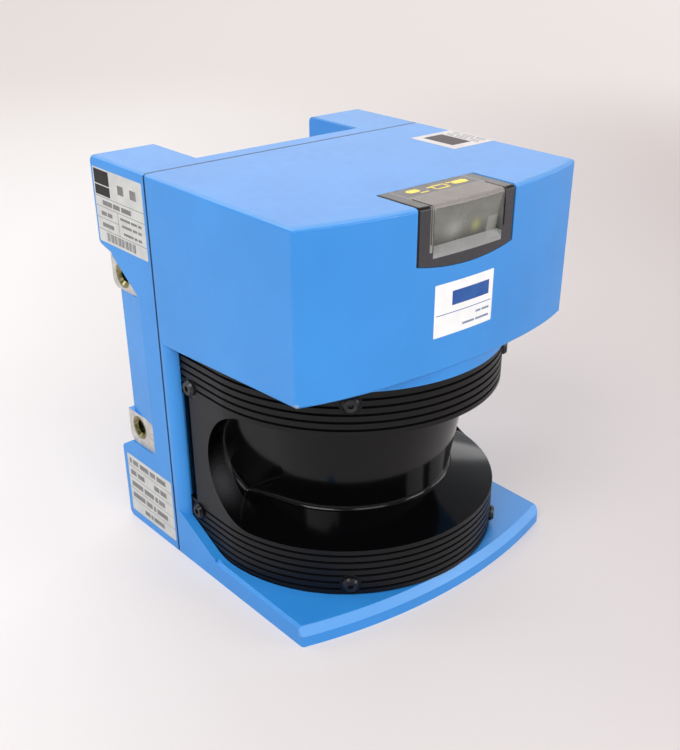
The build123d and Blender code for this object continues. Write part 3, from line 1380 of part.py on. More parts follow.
# Boards with their soldered chips
with BuildPart() as processor_board:
    middle_y = sum(PROCESSOR_Y) / 2
    with BuildSketch(Plane.XY.offset(PROCESSOR_Z)):
        with Locations((0, middle_y)):
            Rectangle(PROCESSOR_X, PROCESSOR_Y[1] - PROCESSOR_Y[0])
        with Locations(*PROCESSOR_POSTS):
            Circle((M3_D + 2 * SCREW_FIT) / 2, mode=Mode.SUBTRACT)
    extrude(amount=BOARD_T)
    with BuildSketch(Plane.XY.offset(PROCESSOR_Z)):
        with Locations((-18, middle_y), (18, middle_y)):
            Rectangle(CHIP, CHIP)
    extrude(amount=-CHIP_T)
processor_board.part.label = "processor_board"
export_step(processor_board.part, "parts/processor_board.step")

with BuildPart() as power_board:
    with BuildSketch(Plane.XZ.offset(-POWER_Y)):
        with Locations((0, sum(POWER_Z) / 2)):
            Rectangle(POWER_X, POWER_Z[1] - POWER_Z[0])
        with Locations(*POWER_POSTS):
            Circle((M3_D + 2 * SCREW_FIT) / 2, mode=Mode.SUBTRACT)
    extrude(amount=-BOARD_T)
    with BuildSketch(Plane.XZ.offset(-POWER_Y)):
        with Locations((-20, sum(POWER_Z) / 2), (20, sum(POWER_Z) / 2)):
            Rectangle(CHIP, CHIP)
    extrude(amount=CHIP / 2)
power_board.part.label = "power_board"
export_step(power_board.part, "parts/power_board.step")

with BuildPart() as indicator_board:
    with BuildSketch(Plane.XZ.offset(-LAMP_BOARD_Y)):
        with Locations((0, (LAMP_BOARD_LOW_Z + LAMP_BOARD_TOP_Z) / 2)):
            Rectangle(LAMP_BOARD_X, LAMP_BOARD_H)
        with Locations(*LAMP_POSTS):
            Circle((M3_D + 2 * SCREW_FIT) / 2, mode=Mode.SUBTRACT)
    extrude(amount=-BOARD_T)
indicator_board.part.label = "indicator_board"
export_step(indicator_board.part, "parts/indicator_board.step")

for name, step in (("lamp_red", -1), ("lamp_yellow", 0), ("lamp_green", 1)):
    with BuildPart() as lamp:
        with BuildSketch(Plane.XZ.offset(-LAMP_BOARD_Y)):
            with Locations((step * LAMP_PITCH, LAMP_Z)):
                Circle(LAMP_BASE_D / 2)
        extrude(amount=1)
        with BuildSketch(Plane.XZ.offset(-LAMP_BOARD_Y)):
            with Locations((step * LAMP_PITCH, LAMP_Z)):
                Circle(LAMP_D / 2)
        extrude(amount=LAMP_L)
        fillet(lamp.faces().sort_by(Axis.Y)[0].edges(), LAMP_D / 2 - 0.3)
    lamp.part.label = name
    export_step(lamp.part, f"parts/{name}.step")

# Small screws of the motor, the boards and the lens tube
SMALL_SCREWS = (
    (Plane.XY.offset(CUP_LOW), 1, FLANGE_T, MOTOR_SCREWS),
    (Plane.XY.offset(MOTOR_BOARD_Z + BOARD_T), 1, BOARD_T, MOTOR_POSTS),
    (Plane.XY.offset(TUBE_TOP + CONE_WALL), 1, FLANGE_T + CONE_WALL, TUBE_SCREWS),
    (Plane.XY.offset(PROCESSOR_Z), -1, BOARD_T, PROCESSOR_POSTS),
    (Plane.XZ.offset(-LAMP_BOARD_Y - BOARD_T), -1, BOARD_T, LAMP_POSTS),
    (Plane.XZ.offset(-POWER_Y), 1, BOARD_T, POWER_POSTS),
)
with BuildPart() as small_screws:
    for plane, out, grip, places in SMALL_SCREWS:
        with BuildSketch(plane):
            with Locations(*places):
                Circle(M3_HEAD_D / 2)
        extrude(amount=out * M3_HEAD_H)
        with BuildSketch(plane):
            with Locations(*places):
                Circle(M3_D / 2)
        extrude(amount=-out * (grip + M3_L - 1))
small_screws.part.label = "small_screws"
export_step(small_screws.part, "parts/small_screws.step")

# Connector inlets in the rear recess
for name, (side, shell_w, plate_w, pitch, pins) in CONNECTORS.items():
    middle = (side * CONNECTOR_X, CONNECTOR_Z)
    with BuildPart() as connector:
        with BuildSketch(Plane.XZ.offset(-RECESS_FLOOR_Y)):
            with Locations(middle):
                RectangleRounded(plate_w, PLATE_H, 1)
            for end in (-1, 1):
                with Locations((middle[0] + end * pitch / 2, CONNECTOR_Z)):
                    Circle(JACK_HOLE_D / 2 + SCREW_FIT, mode=Mode.SUBTRACT)
        extrude(amount=-PLATE_T)
        with BuildSketch(Plane.XZ.offset(-CONNECTOR_BOARD_Y - BOARD_T)):
            with Locations(middle):
                Trapezoid(shell_w, SHELL_H, 80, 80, rotation=180)
            fillet(vertices(), 1.5)
        extrude(amount=-(RECESS_FLOOR_Y + SHELL_OUT - CONNECTOR_BOARD_Y - BOARD_T))
        with BuildSketch(Plane.XZ.offset(-RECESS_FLOOR_Y - PLATE_T)):
            with Locations(middle):
                Trapezoid(shell_w - 2 * SHELL_T, SHELL_H - 2 * SHELL_T, 80, 80, rotation=180)
            fillet(vertices(), 1)
        extrude(amount=-SHELL_OUT, mode=Mode.SUBTRACT)
        rows = ((pins, PIN_ROW / 2), (pins - 1, -PIN_ROW / 2))
        for count, rise in rows:
            with BuildSketch(Plane.XZ.offset(-RECESS_FLOOR_Y - PLATE_T)):
                with Locations((middle[0], CONNECTOR_Z + rise)):
                    with GridLocations(PIN_PITCH, 1, count, 1):
                        Circle(PIN_D / 2)
            extrude(amount=-(SHELL_OUT - 1.5))
    connector.part.label = f"{name}_connector"
    export_step(connector.part, f"parts/{name}_connector.step")

JACKS = [
    (side * CONNECTOR_X + end * pitch / 2, CONNECTOR_Z)
    for side, _, _, pitch, _ in CONNECTORS.values()
    for end in (-1, 1)
]
with BuildPart() as jack_screws:
    with BuildSketch(Plane.XZ.offset(-RECESS_FLOOR_Y - PLATE_T)):
        with Locations(*JACKS):
            RegularPolygon(JACK_D / 2, 6)
    extrude(amount=-SHELL_OUT + 1)
    with BuildSketch(Plane.XZ.offset(-RECESS_FLOOR_Y - PLATE_T)):
        with Locations(*JACKS):
            Circle(JACK_HOLE_D / 2)
    extrude(amount=PLATE_T + WALL)
    with BuildSketch(Plane.XZ.offset(-RECESS_FLOOR_Y - SHELL_OUT)):
        with Locations(*JACKS):
            Circle(JACK_HOLE_D / 2 - 0.2)
    extrude(amount=SHELL_OUT / 2, mode=Mode.SUBTRACT)
jack_screws.part.label = "jack_screws"
export_step(jack_screws.part, "parts/jack_screws.step")

with BuildPart() as connector_board:
    with BuildSketch(Plane.XZ.offset(-CONNECTOR_BOARD_Y)):
        with Locations((0, CONNECTOR_Z)):
            Rectangle(2 * EAR_IN, CONNECTOR_BOARD_H)
    extrude(amount=-BOARD_T)
connector_board.part.label = "connector_board"
export_step(connector_board.part, "parts/connector_board.step")
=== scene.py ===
"""Looks of the safety laser scanner: its paint, cover, labels, threads and a plain studio.

Sizes are in millimetres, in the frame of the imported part: +Z up, the front faces -Y.
"""

import logging
import math
from collections.abc import Sequence
from dataclasses import dataclass, field
from enum import Enum
from typing import Any, Union

import bmesh
import bpy
import numpy as np
from mathutils import Matrix, Vector

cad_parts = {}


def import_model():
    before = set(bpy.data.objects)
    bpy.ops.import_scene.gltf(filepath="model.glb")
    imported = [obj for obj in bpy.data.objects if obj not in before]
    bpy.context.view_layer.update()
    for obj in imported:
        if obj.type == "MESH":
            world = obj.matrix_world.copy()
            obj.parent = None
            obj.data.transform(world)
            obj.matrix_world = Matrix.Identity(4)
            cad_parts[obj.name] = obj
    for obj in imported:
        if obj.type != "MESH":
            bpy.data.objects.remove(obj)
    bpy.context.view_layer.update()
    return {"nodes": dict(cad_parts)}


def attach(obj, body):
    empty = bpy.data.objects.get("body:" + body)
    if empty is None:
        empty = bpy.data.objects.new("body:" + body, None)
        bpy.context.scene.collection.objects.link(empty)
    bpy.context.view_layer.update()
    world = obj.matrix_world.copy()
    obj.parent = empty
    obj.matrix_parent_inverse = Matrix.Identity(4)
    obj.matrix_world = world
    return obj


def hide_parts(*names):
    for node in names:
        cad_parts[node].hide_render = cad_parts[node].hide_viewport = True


LOG = logging.getLogger("scanner")

MM = 0.001
HALF = 77.5  # half the housing's width
HEIGHT = 185.0
FRONT_Y = -78.0
FRONT_R = 248.3  # the front bows with this radius
BEVEL_IN = 2.4  # bevel along the front edge of the base
BASE_EDGE_Z = (5.4, 9.69)  # heights of that bevel
AXIS_Y = -4.0  # axis of the half-round cover
COVER_R = 72.5
POLISHED_Z = (33.0, 90.35)  # between the cover's ribbed rings
SCOOP = (66.0, 6.0, 48.0)  # middle of the painted highlight in the recess's end
SCOOP_REACH = 9.0
SCOOP_FROM = 59.0
SEAM_Y = 32.0  # joint of the two castings
PAD_X = 76.3
PAD_FRONT_Y = 45.9
PAD_Z = ((47.1, 64.15), (126.85, 143.3))  # heights of the machined pads
CHIP = (-HALF, -65.6, 115.2)  # chipped corner of the hood
LENS_HALF = 19.05  # half the tilted face of the indicator window
INSERT_Y = 60.8
INSERT_Z = (134.1, 56.7)
CONNECTOR_Z = 150.0
CONNECTOR_FACE_Y = 42.0

Colour = tuple[float, float, float, float]


def srgb(code: str) -> Colour:
    """Linear colour of a hexadecimal one.

    Args:
        code: six hexadecimal digits after a hash sign.

    Returns:
        Linear red, green and blue, and an alpha of 1.
    """
    parts = [int(code[i : i + 2], 16) / 255 for i in (1, 3, 5)]
    red, green, blue = (p / 12.92 if p <= 0.04045 else ((p + 0.055) / 1.055) ** 2.4 for p in parts)
    return red, green, blue, 1.0


# Shader maths


@dataclass(frozen=True)
class Shade:
    """A varying number in a material's nodes, on which Python's operators work."""

    graph: "Graph"
    socket: bpy.types.NodeSocket

    def _with(self, operation: str, first: "Value", second: "Value") -> "Shade":
        """A Math node of the two values."""
        return self.graph.node("ShaderNodeMath", {"operation": operation}, {0: first, 1: second})

    def __add__(self, other: "Value") -> "Shade":
        """Sum of the two."""
        return self._with("ADD", self, other)

    def __radd__(self, other: "Value") -> "Shade":
        """Sum with the number on the left."""
        return self._with("ADD", other, self)

    def __sub__(self, other: "Value") -> "Shade":
        """This less the other."""
        return self._with("SUBTRACT", self, other)

    def __rsub__(self, other: "Value") -> "Shade":
        """The number on the left less this."""
        return self._with("SUBTRACT", other, self)

    def __mul__(self, other: "Value") -> "Shade":
        """Product of the two."""
        return self._with("MULTIPLY", self, other)

    def __gt__(self, other: "Value") -> "Shade":
        """1 where this is the greater, otherwise 0."""
        return self._with("GREATER_THAN", self, other)

    def __lt__(self, other: "Value") -> "Shade":
        """1 where this is the smaller, otherwise 0."""
        return self._with("LESS_THAN", self, other)

    def __abs__(self) -> "Shade":
        """This without its sign."""
        return self._with("ABSOLUTE", self, 0.0)

    def larger(self, other: "Value") -> "Shade":
        """The larger of the two."""
        return self._with("MAXIMUM", self, other)

    def power(self, exponent: float) -> "Shade":
        """This to a power."""
        return self._with("POWER", self, exponent)

    def fading(self, rate: float) -> "Shade":
        """e to the power of minus the rate times this."""
        return self._with("POWER", math.exp(-rate), self)

    def wave(self) -> "Shade":
        """Sine of this."""
        return self._with("SINE", self, 0.0)

    def between(self, low: float, high: float) -> "Shade":
        """1 where this lies between low and high, otherwise 0."""
        return (self > low) * (self < high)


Value = Union[Shade, float, Sequence[float]]


class Graph:
    """Nodes of one material round its Principled shader."""

    def __init__(self, name: str) -> None:
        """Makes the material with an empty shader."""
        self.material = bpy.data.materials.new(name)
        self.material.use_nodes = True
        self.tree = self.material.node_tree
        self.tree.nodes.clear()
        self.shader = self.tree.nodes.new("ShaderNodeBsdfPrincipled")
        output = self.tree.nodes.new("ShaderNodeOutputMaterial")
        self.tree.links.new(self.shader.outputs["BSDF"], output.inputs["Surface"])

    def feed(self, socket: bpy.types.NodeSocket, value: Value) -> None:
        """Links or sets one input socket."""
        if isinstance(value, Shade):
            self.tree.links.new(value.socket, socket)
        else:
            socket.default_value = value

    def node(
        self,
        kind: str,
        settings: dict[str, Any],
        inputs: dict[Union[str, int], Value],
        outlet: Union[str, int] = 0,
    ) -> Shade:
        """Adds a node.

        Args:
            kind: Blender's name for the node's type.
            settings: the node's own choices, or the stops of a ramp, set before its sockets.
            inputs: values or links of its sockets, by name or number.
            outlet: the output that is wanted.

        Returns:
            That output.
        """
        made = self.tree.nodes.new(kind)
        for key, value in settings.items():
            if key == "stops":
                self._stops(made.color_ramp, value)
            else:
                setattr(made, key, value)
        for key, value in inputs.items():
            self.feed(made.inputs[key], value)
        return Shade(self, made.outputs[outlet])

    @staticmethod
    def _stops(ramp: bpy.types.ColorRamp, stops: Sequence[tuple[float, Colour]]) -> None:
        """Gives a ramp its stops."""
        while len(ramp.elements) < len(stops):
            ramp.elements.new(1.0)
        for element, (place, colour) in zip(ramp.elements, stops):
            element.position = place
            element.color = colour

    def place(self) -> Shade:
        """Object coordinates, in metres."""
        return self.node("ShaderNodeTexCoord", {}, {}, "Object")

    def axes(self) -> tuple[Shade, Shade, Shade]:
        """X, Y and Z in millimetres."""
        metres = self.node(
            "ShaderNodeVectorMath",
            {"operation": "SCALE"},
            {0: self.place(), "Scale": 1 / MM},
        )
        split = self.tree.nodes.new("ShaderNodeSeparateXYZ")
        self.tree.links.new(metres.socket, split.inputs[0])
        x, y, z = (Shade(self, outlet) for outlet in split.outputs)
        return x, y, z

    def grain(self, size: float, detail: float = 3.0, stretch: Sequence[float] = (1, 1, 1)) -> Shade:
        """Noise about 0.5 in the part's own space.

        Args:
            size: width of its spots in millimetres.
            detail: octaves of finer noise.
            stretch: factor on the spots' frequency along each axis.

        Returns:
            The noise.
        """
        place = self.node(
            "ShaderNodeMapping", {"vector_type": "POINT"}, {"Vector": self.place(), "Scale": stretch}
        )
        return self.node(
            "ShaderNodeTexNoise",
            {"noise_dimensions": "3D"},
            {"Vector": place, "Scale": 1 / (size * MM), "Detail": detail},
            "Fac",
        )

    def ramp(self, value: Shade, stops: Sequence[tuple[float, Colour]]) -> Shade:
        """Colour at a value on a ramp."""
        return self.node("ShaderNodeValToRGB", {"stops": stops}, {"Fac": value}, "Color")

    def mix(self, factor: Value, first: Value, second: Value) -> Shade:
        """Colour between two, by a factor."""
        settings = {"data_type": "RGBA", "blend_type": "MIX"}
        return self.node("ShaderNodeMix", settings, {0: factor, 6: first, 7: second}, 2)

    def bump(self, height: Shade, strength: float, depth: float) -> None:
        """Puts a bump of a depth in millimetres on the shader."""
        normal = self.node(
            "ShaderNodeBump",
            {},
            {"Height": height, "Strength": strength, "Distance": depth * MM},
        )
        self.feed(self.shader.inputs["Normal"], normal)

    def show(self, share: Value, colour: Value) -> None:
        """Mixes a plain glow of strength 1 over the shader, by a factor."""
        output = next(n for n in self.tree.nodes if n.type == "OUTPUT_MATERIAL")
        glow = self.node("ShaderNodeEmission", {}, {"Color": colour, "Strength": 1.0})
        surface = Shade(self, self.shader.outputs["BSDF"])
        both = self.node("ShaderNodeMixShader", {}, {0: share, 1: surface, 2: glow})
        self.tree.links.new(both.socket, output.inputs["Surface"])

    def set(self, **values: Value) -> None:
        """Sets or links the shader's sockets, with an underscore for each blank."""
        for key, value in values.items():
            self.feed(self.shader.inputs[key.replace("_", " ")], value)


# Finishes


@dataclass(frozen=True)
class Paint:
    """Satin coat of fine structure paint, with bare machined pads where they are asked for."""

    name: str
    pads: bool = False
    colour: str = "#318CD9"
    dark: str = "#2C86D2"
    bare: str = "#CFCBC6"
    bare_dark: str = "#B4B0AB"
    scuffed: str = "#BFD6EE"
    seam_painted_shade: str = "#0A2C55"
    edge_painted_highlight: str = "#9FCBF5"
    chipped: str = "#A9A7A0"

    def material(self) -> bpy.types.Material:
        """Slow drift of colour, fine structure in the coat, faint scuffs, painted seam shade and edge
        highlights.
        """
        graph = Graph(self.name)
        drift = graph.grain(38.0, 2.0)
        colour = graph.ramp(drift, [(0.3, srgb(self.dark)), (0.7, srgb(self.colour))])
        scuff = (graph.grain(1.6, 4.0) > 0.76) * (graph.grain(26.0) > 0.58)
        colour = graph.mix(scuff * 0.12, colour, srgb(self.scuffed))
        rough = 0.36 + graph.grain(5.0) * 0.1
        relief = graph.grain(0.7, 2.0) + graph.grain(2.6, 2.0) * 0.5
        x, y, z = graph.axes()
        # Darker band where the two castings meet: painted shade.
        painted_seam_shade = (abs(y - SEAM_Y) < 0.8) * 0.75
        colour = graph.mix(painted_seam_shade, colour, srgb(self.seam_painted_shade))
        # Lighter front bevel of the base and lighter top edges: painted highlights.
        ahead = y - (FRONT_Y + FRONT_R)
        bow = (x * x + ahead * ahead).power(0.5)
        edges = (bow > FRONT_R - BEVEL_IN) * z.between(*BASE_EDGE_Z) * 0.2
        edges = edges + (z > HEIGHT - 0.75) * (z < HEIGHT - 0.05) * 0.3
        colour = graph.mix(edges, colour, srgb(self.edge_painted_highlight))
        chip = self.near(x, y, z, CHIP) < 1.0 + graph.grain(0.8) * 1.6
        colour = graph.mix(chip * 0.6, colour, srgb(self.chipped))
        if self.pads:
            on_pad = abs(x).between(PAD_X - 0.1, PAD_X + 0.1) * (y > PAD_FRONT_Y)
            on_pad = on_pad * (z.between(*PAD_Z[0]) + z.between(*PAD_Z[1]))
            tool = (graph.grain(0.3, 1.0, (0.05, 0.05, 1.0)) * 9.0).wave() * 0.2
            metal = graph.ramp(
                graph.grain(3.0) + tool, [(0.3, srgb(self.bare_dark)), (0.6, srgb(self.bare))]
            )
            colour = graph.mix(on_pad, colour, metal)
            rough = rough * (1 - on_pad) + on_pad * 0.42
            relief = relief * (1 - on_pad) + on_pad * tool
            graph.set(Metallic=on_pad * 0.35)
        graph.set(Base_Color=colour, Roughness=rough, Specular_IOR_Level=0.5)
        graph.bump(relief, 0.45, 0.12)
        return graph.material

    @staticmethod
    def near(x: Shade, y: Shade, z: Shade, place: tuple[float, float, float]) -> Shade:
        """Distance in millimetres from a place: the root of the summed squares."""
        steps = [axis - value for axis, value in zip((x, y, z), place)]
        square = steps[0] * steps[0] + steps[1] * steps[1] + steps[2] * steps[2]
        return square.power(0.5)


@dataclass(frozen=True)
class CoverPlastic:
    """Black moulding: satin ribs and panels, polished window, flare and recess, with a painted
    highlight.
    """

    name: str
    satin: str = "#070709"
    panel: str = "#17171A"
    gloss: str = "#050506"
    # Colour of the painted highlight in the recess's end.
    hollow: str = "#464648"

    def material(self) -> bpy.types.Material:
        """The polish lies between the ribbed rings, inside the outer face; the recess's end has a
        painted highlight.
        """
        graph = Graph(self.name)
        x, y, z = graph.axes()
        aside = abs(x)
        ahead = y - AXIS_Y
        radius = (x * x + ahead * ahead).power(0.5)
        reach = aside.larger(radius * (ahead < 0.0))
        polished = (reach < COVER_R - 0.15) * z.between(*POLISHED_Z)
        side = (aside > COVER_R - 0.1) * (ahead > -12.0)
        # Soft lighter and rougher spot at the recess's end: a painted highlight.
        hollow = Paint.near(aside, y, z, SCOOP) * (1 / SCOOP_REACH)
        painted_scoop_highlight = (hollow * hollow).fading(1.0) * (aside > SCOOP_FROM) * polished
        mottle = graph.grain(1.2, 3.0)
        satin = graph.mix(side * 0.8, srgb(self.satin), srgb(self.panel))
        satin = graph.mix(mottle * 0.25, satin, srgb(self.panel))
        colour = graph.mix(polished, satin, srgb(self.gloss))
        graph.set(
            Base_Color=graph.mix(painted_scoop_highlight, colour, srgb(self.hollow)),
            Roughness=polished * (0.09 + graph.grain(14.0) * 0.05 + painted_scoop_highlight * 0.3)
            + (1 - polished) * (0.36 + mottle * 0.14),
            Specular_IOR_Level=0.24,
        )
        graph.bump(graph.grain(0.8, 2.0) * (1 - polished), 0.4, 0.1)
        return graph.material


@dataclass(frozen=True)
class Metal:
    """A bare or treated metal with tool marks that run across one axis."""

    name: str
    bright: str
    dull: str
    roughness: float = 0.3
    metallic: float = 1.0
    lines: Sequence[float] = (1.0, 1.0, 1.0)
    spot: float = 1.5

    def material(self) -> bpy.types.Material:
        """Patches of two tones, with fine lines in roughness and relief."""
        graph = Graph(self.name)
        patches = graph.grain(self.spot * 4, 4.0)
        lines = graph.grain(self.spot, 2.0, self.lines)
        tone = graph.ramp(patches, [(0.35, srgb(self.dull)), (0.62, srgb(self.bright))])
        graph.set(
            Base_Color=tone,
            Metallic=self.metallic,
            Roughness=self.roughness + (lines - 0.5) * 0.2 + (patches - 0.5) * 0.15,
        )
        graph.bump(lines, 0.15, 0.04)
        return graph.material


@dataclass(frozen=True)
class Chromate:
    """Zinc with a yellow passivation that shifts to green and rose."""

    name: str

    def material(self) -> bpy.types.Material:
        """Four tones by slow noise over faint turning lines, with painted shade inside the bore."""
        graph = Graph(self.name)
        film = graph.grain(2.6, 3.0)
        stops = [
            (0.30, srgb("#4A482E")),
            (0.45, srgb("#746E43")),
            (0.58, srgb("#918C68")),
            (0.72, srgb("#66563F")),
        ]
        lines = graph.grain(0.25, 1.0, (6.0, 1.0, 1.0))
        x, _, _ = graph.axes()
        # Darker inside the bore: painted shade.
        bore_painted_shade = (abs(x) < PAD_X - 1.5) * 0.88
        tone = graph.mix(bore_painted_shade, graph.ramp(film, stops), srgb("#1D1B12"))
        graph.set(Base_Color=tone, Metallic=1.0, Roughness=0.2 + lines * 0.14)
        graph.bump(lines, 0.1, 0.02)
        return graph.material


@dataclass(frozen=True)
class Moulded:
    """Plastic or rubber with a fine spark-eroded grain."""

    name: str
    colour: str
    light: str
    roughness: float = 0.45
    size: float = 0.7
    relief: float = 0.2

    def material(self) -> bpy.types.Material:
        """Two near tones by noise and a fine grain."""
        graph = Graph(self.name)
        tone = graph.grain(self.size * 9, 3.0)
        grain = graph.grain(self.size, 2.0)
        colour = graph.ramp(tone, [(0.3, srgb(self.colour)), (0.75, srgb(self.light))])
        graph.set(Base_Color=colour, Roughness=self.roughness + (grain - 0.5) * 0.16)
        graph.bump(grain, self.relief, 0.05)
        return graph.material


@dataclass(frozen=True)
class SmokedLens:
    """Smoked window: brown top, dark frame, a clearer tilted face before the lamps, painted light and
    shade.
    """

    name: str
    top: str = "#1F1814"
    plate: str = "#64574F"
    frame: str = "#403F43"
    face: str = "#83847E"
    low_face: str = "#4E504B"
    pale: str = "#A6A8A1"
    green: str = "#A2A668"
    ledge_highlight: str = "#A9A8A6"

    def material(self) -> bpy.types.Material:
        """Regions by place on the window, the lamps' soft images on its tilted face, painted shade
        and highlights.
        """
        graph = Graph(self.name)
        x, y, z = graph.axes()
        cloud = graph.grain(6.0, 4.0)
        speck = graph.grain(1.1, 3.0)
        facing_up = z > HEIGHT - 0.9
        middle = (abs(x) < 20.2) * (y < -63.5)
        face = (abs(x) < LENS_HALF) * z.between(166.0, 183.7) * (y > FRONT_Y + 0.3)
        sill_highlight = (abs(x) < LENS_HALF) * z.between(164.5, 168.25) * (y < -74.5)
        tone = graph.mix(facing_up, srgb(self.frame), srgb(self.top))
        tone = graph.mix(facing_up * middle, tone, srgb(self.plate))
        # Near black beyond the frame's ends: painted shade in the gaps beside the housing.
        tone = graph.mix((abs(x) > 25.9) * 0.85, tone, srgb("#0B0B0C"))
        # Lighter tone in the slots: painted light against the shade inside them.
        slot = abs(x).between(19.5, 20.8) * (z > 181.0)
        tone = graph.mix(slot, tone, srgb("#5F5752"))
        # Light band along the face's turned top edge: painted highlight.
        turned_edge_highlight = (abs(x) < 19.3) * z.between(183.0, 184.95) * (y < -75.0)
        tone = graph.mix(turned_edge_highlight * 0.7, tone, srgb("#A39D98"))
        # Light line along the left edge of the face: painted highlight.
        left_edge_highlight = x.between(-20.8, -19.5) * z.between(167.0, 184.6)
        tone = graph.mix(left_edge_highlight * 0.8, tone, srgb("#A5A29C"))
        tone = graph.mix(face, tone, self._lit(graph, x, z))
        # Light grey on the sill below the face: painted highlight.
        tone = graph.mix(sill_highlight * 0.8, tone, srgb(self.ledge_highlight))
        graph.set(
            Base_Color=graph.mix(cloud * 0.22, tone, srgb("#2E2B2A")),
            Roughness=0.2 + cloud * 0.12 + speck * 0.05,
            Coat_Weight=face * 0.4,
            Specular_IOR_Level=0.22,
        )
        graph.bump(speck * (1 - face), 0.05, 0.02)
        return graph.material

    def _lit(self, graph: Graph, x: Shade, z: Shade) -> Shade:
        """Olive grey with a wide pale image at the left, a green one, a square one and a painted
        highlight at the left rim.
        """
        cloud = graph.grain(3.4, 5.0)
        wide = self._blot(x, z, (-7.0, 173.4), (7.0, 5.0)) * (0.55 + cloud * 0.7)
        green = self._blot(x, z, (6.0, 172.6), (3.2, 3.4))
        square = x.between(12.6, 18.4) * z.between(166.4, 174.6) * (0.4 + cloud * 0.3)
        # Lighter band at the face's left rim: painted highlight.
        rim = (x < -18.4) * (z > 168.8) * 0.6
        fall = graph.node("ShaderNodeClamp", {}, {0: (175.0 - z) * (1 / 7.0)})
        tone = graph.mix(fall, srgb(self.face), srgb(self.low_face))
        tone = graph.mix(cloud * 0.4, tone, srgb("#3B3C38"))
        tone = graph.mix(wide * 0.75, tone, srgb(self.pale))
        tone = graph.mix(square, tone, srgb(self.pale))
        tone = graph.mix(green * 0.8, tone, srgb(self.green))
        return graph.mix(rim, tone, srgb("#A9AAA4"))

    @staticmethod
    def _blot(
        x: Shade, z: Shade, middle: tuple[float, float], reach: tuple[float, float]
    ) -> Shade:
        """Soft spot: e to the power of minus twice the squared distance in units of its reach."""
        across = (x - middle[0]) * (1 / reach[0])
        along = (z - middle[1]) * (1 / reach[1])
        return (across * across + along * along).fading(2.0)


@dataclass(frozen=True)
class Glass:
    """Clear or silvered glass with faint dust."""

    name: str
    silvered: bool = False

    def material(self) -> bpy.types.Material:
        """Dust in the roughness over a clear or a mirror ground."""
        graph = Graph(self.name)
        dust = graph.grain(3.0, 4.0)
        colour = graph.mix(dust * 0.2, srgb("#F4F7FA"), srgb("#C9D2D8"))
        graph.set(Base_Color=colour, Roughness=0.02 + dust * 0.05)
        if self.silvered:
            graph.set(Metallic=1.0)
        else:
            graph.set(Transmission_Weight=0.9, IOR=1.5)
        return graph.material


@dataclass(frozen=True)
class CircuitBoard:
    """Green board with lighter tracks under the lacquer."""

    name: str

    def material(self) -> bpy.types.Material:
        """Two crossed families of fine lines, broken by noise."""
        graph = Graph(self.name)
        x, y, z = graph.axes()
        tracks = ((x + z) * 3.1).wave() > 0.55
        cross = ((y - z) * 2.7).wave() > 0.72
        broken = graph.grain(6.0, 1.0) > 0.48
        copper = tracks.larger(cross) * broken
        graph.set(
            Base_Color=graph.mix(copper, srgb("#14532E"), srgb("#2E7B47")),
            Roughness=0.3 + graph.grain(1.0) * 0.2,
        )
        graph.bump(copper, 0.3, 0.03)
        return graph.material


@dataclass(frozen=True)
class Inlet:
    """Plated shell of a connector inlet, with its black insulator and gilt pins."""

    name: str
    middle: float
    width: float

    def material(self) -> bpy.types.Material:
        """Inside the shell's slanted outline the face is plastic and what stands on it gilt."""
        graph = Graph(self.name)
        x, y, z = graph.axes()
        rise = z - CONNECTOR_Z
        inside = (abs(x - self.middle) - rise * 0.176 < self.width / 2 - 1.7) * (abs(rise) < 3.3)
        pins = inside * (y > CONNECTOR_FACE_Y + 0.15)
        core = inside * (1 - pins) * (y > CONNECTOR_FACE_Y - 0.5)
        grain = graph.grain(0.8, 3.0)
        plate = graph.ramp(grain, [(0.3, srgb("#A9A89F")), (0.7, srgb("#D3D1C6"))])
        colour = graph.mix(core, graph.mix(pins, plate, srgb("#D8B25A")), srgb("#151517"))
        graph.set(
            Base_Color=colour,
            Metallic=1 - core,
            Roughness=0.3 + grain * 0.15 + core * 0.2,
        )
        graph.bump(grain, 0.1, 0.03)
        return graph.material


@dataclass(frozen=True)
class Foil:
    """Printed foil of a label, with a faint sheen and fibres."""

    name: str
    colour: str
    shade: str
    metallic: float = 0.0
    roughness: float = 0.35
    sheen: float = 0.5

    def material(self) -> bpy.types.Material:
        """Two near tones and a slight orange peel."""
        graph = Graph(self.name)
        wear = graph.grain(7.0, 2.0)
        fibre = graph.grain(0.4, 2.0)
        graph.set(
            Base_Color=graph.ramp(wear, [(0.35, srgb(self.shade)), (0.6, srgb(self.colour))]),
            Metallic=self.metallic,
            Roughness=self.roughness + (fibre - 0.5) * 0.1,
            Specular_IOR_Level=self.sheen,
        )
        graph.bump(wear + fibre * 0.3, 0.08, 0.03)
        return graph.material


# Meshes


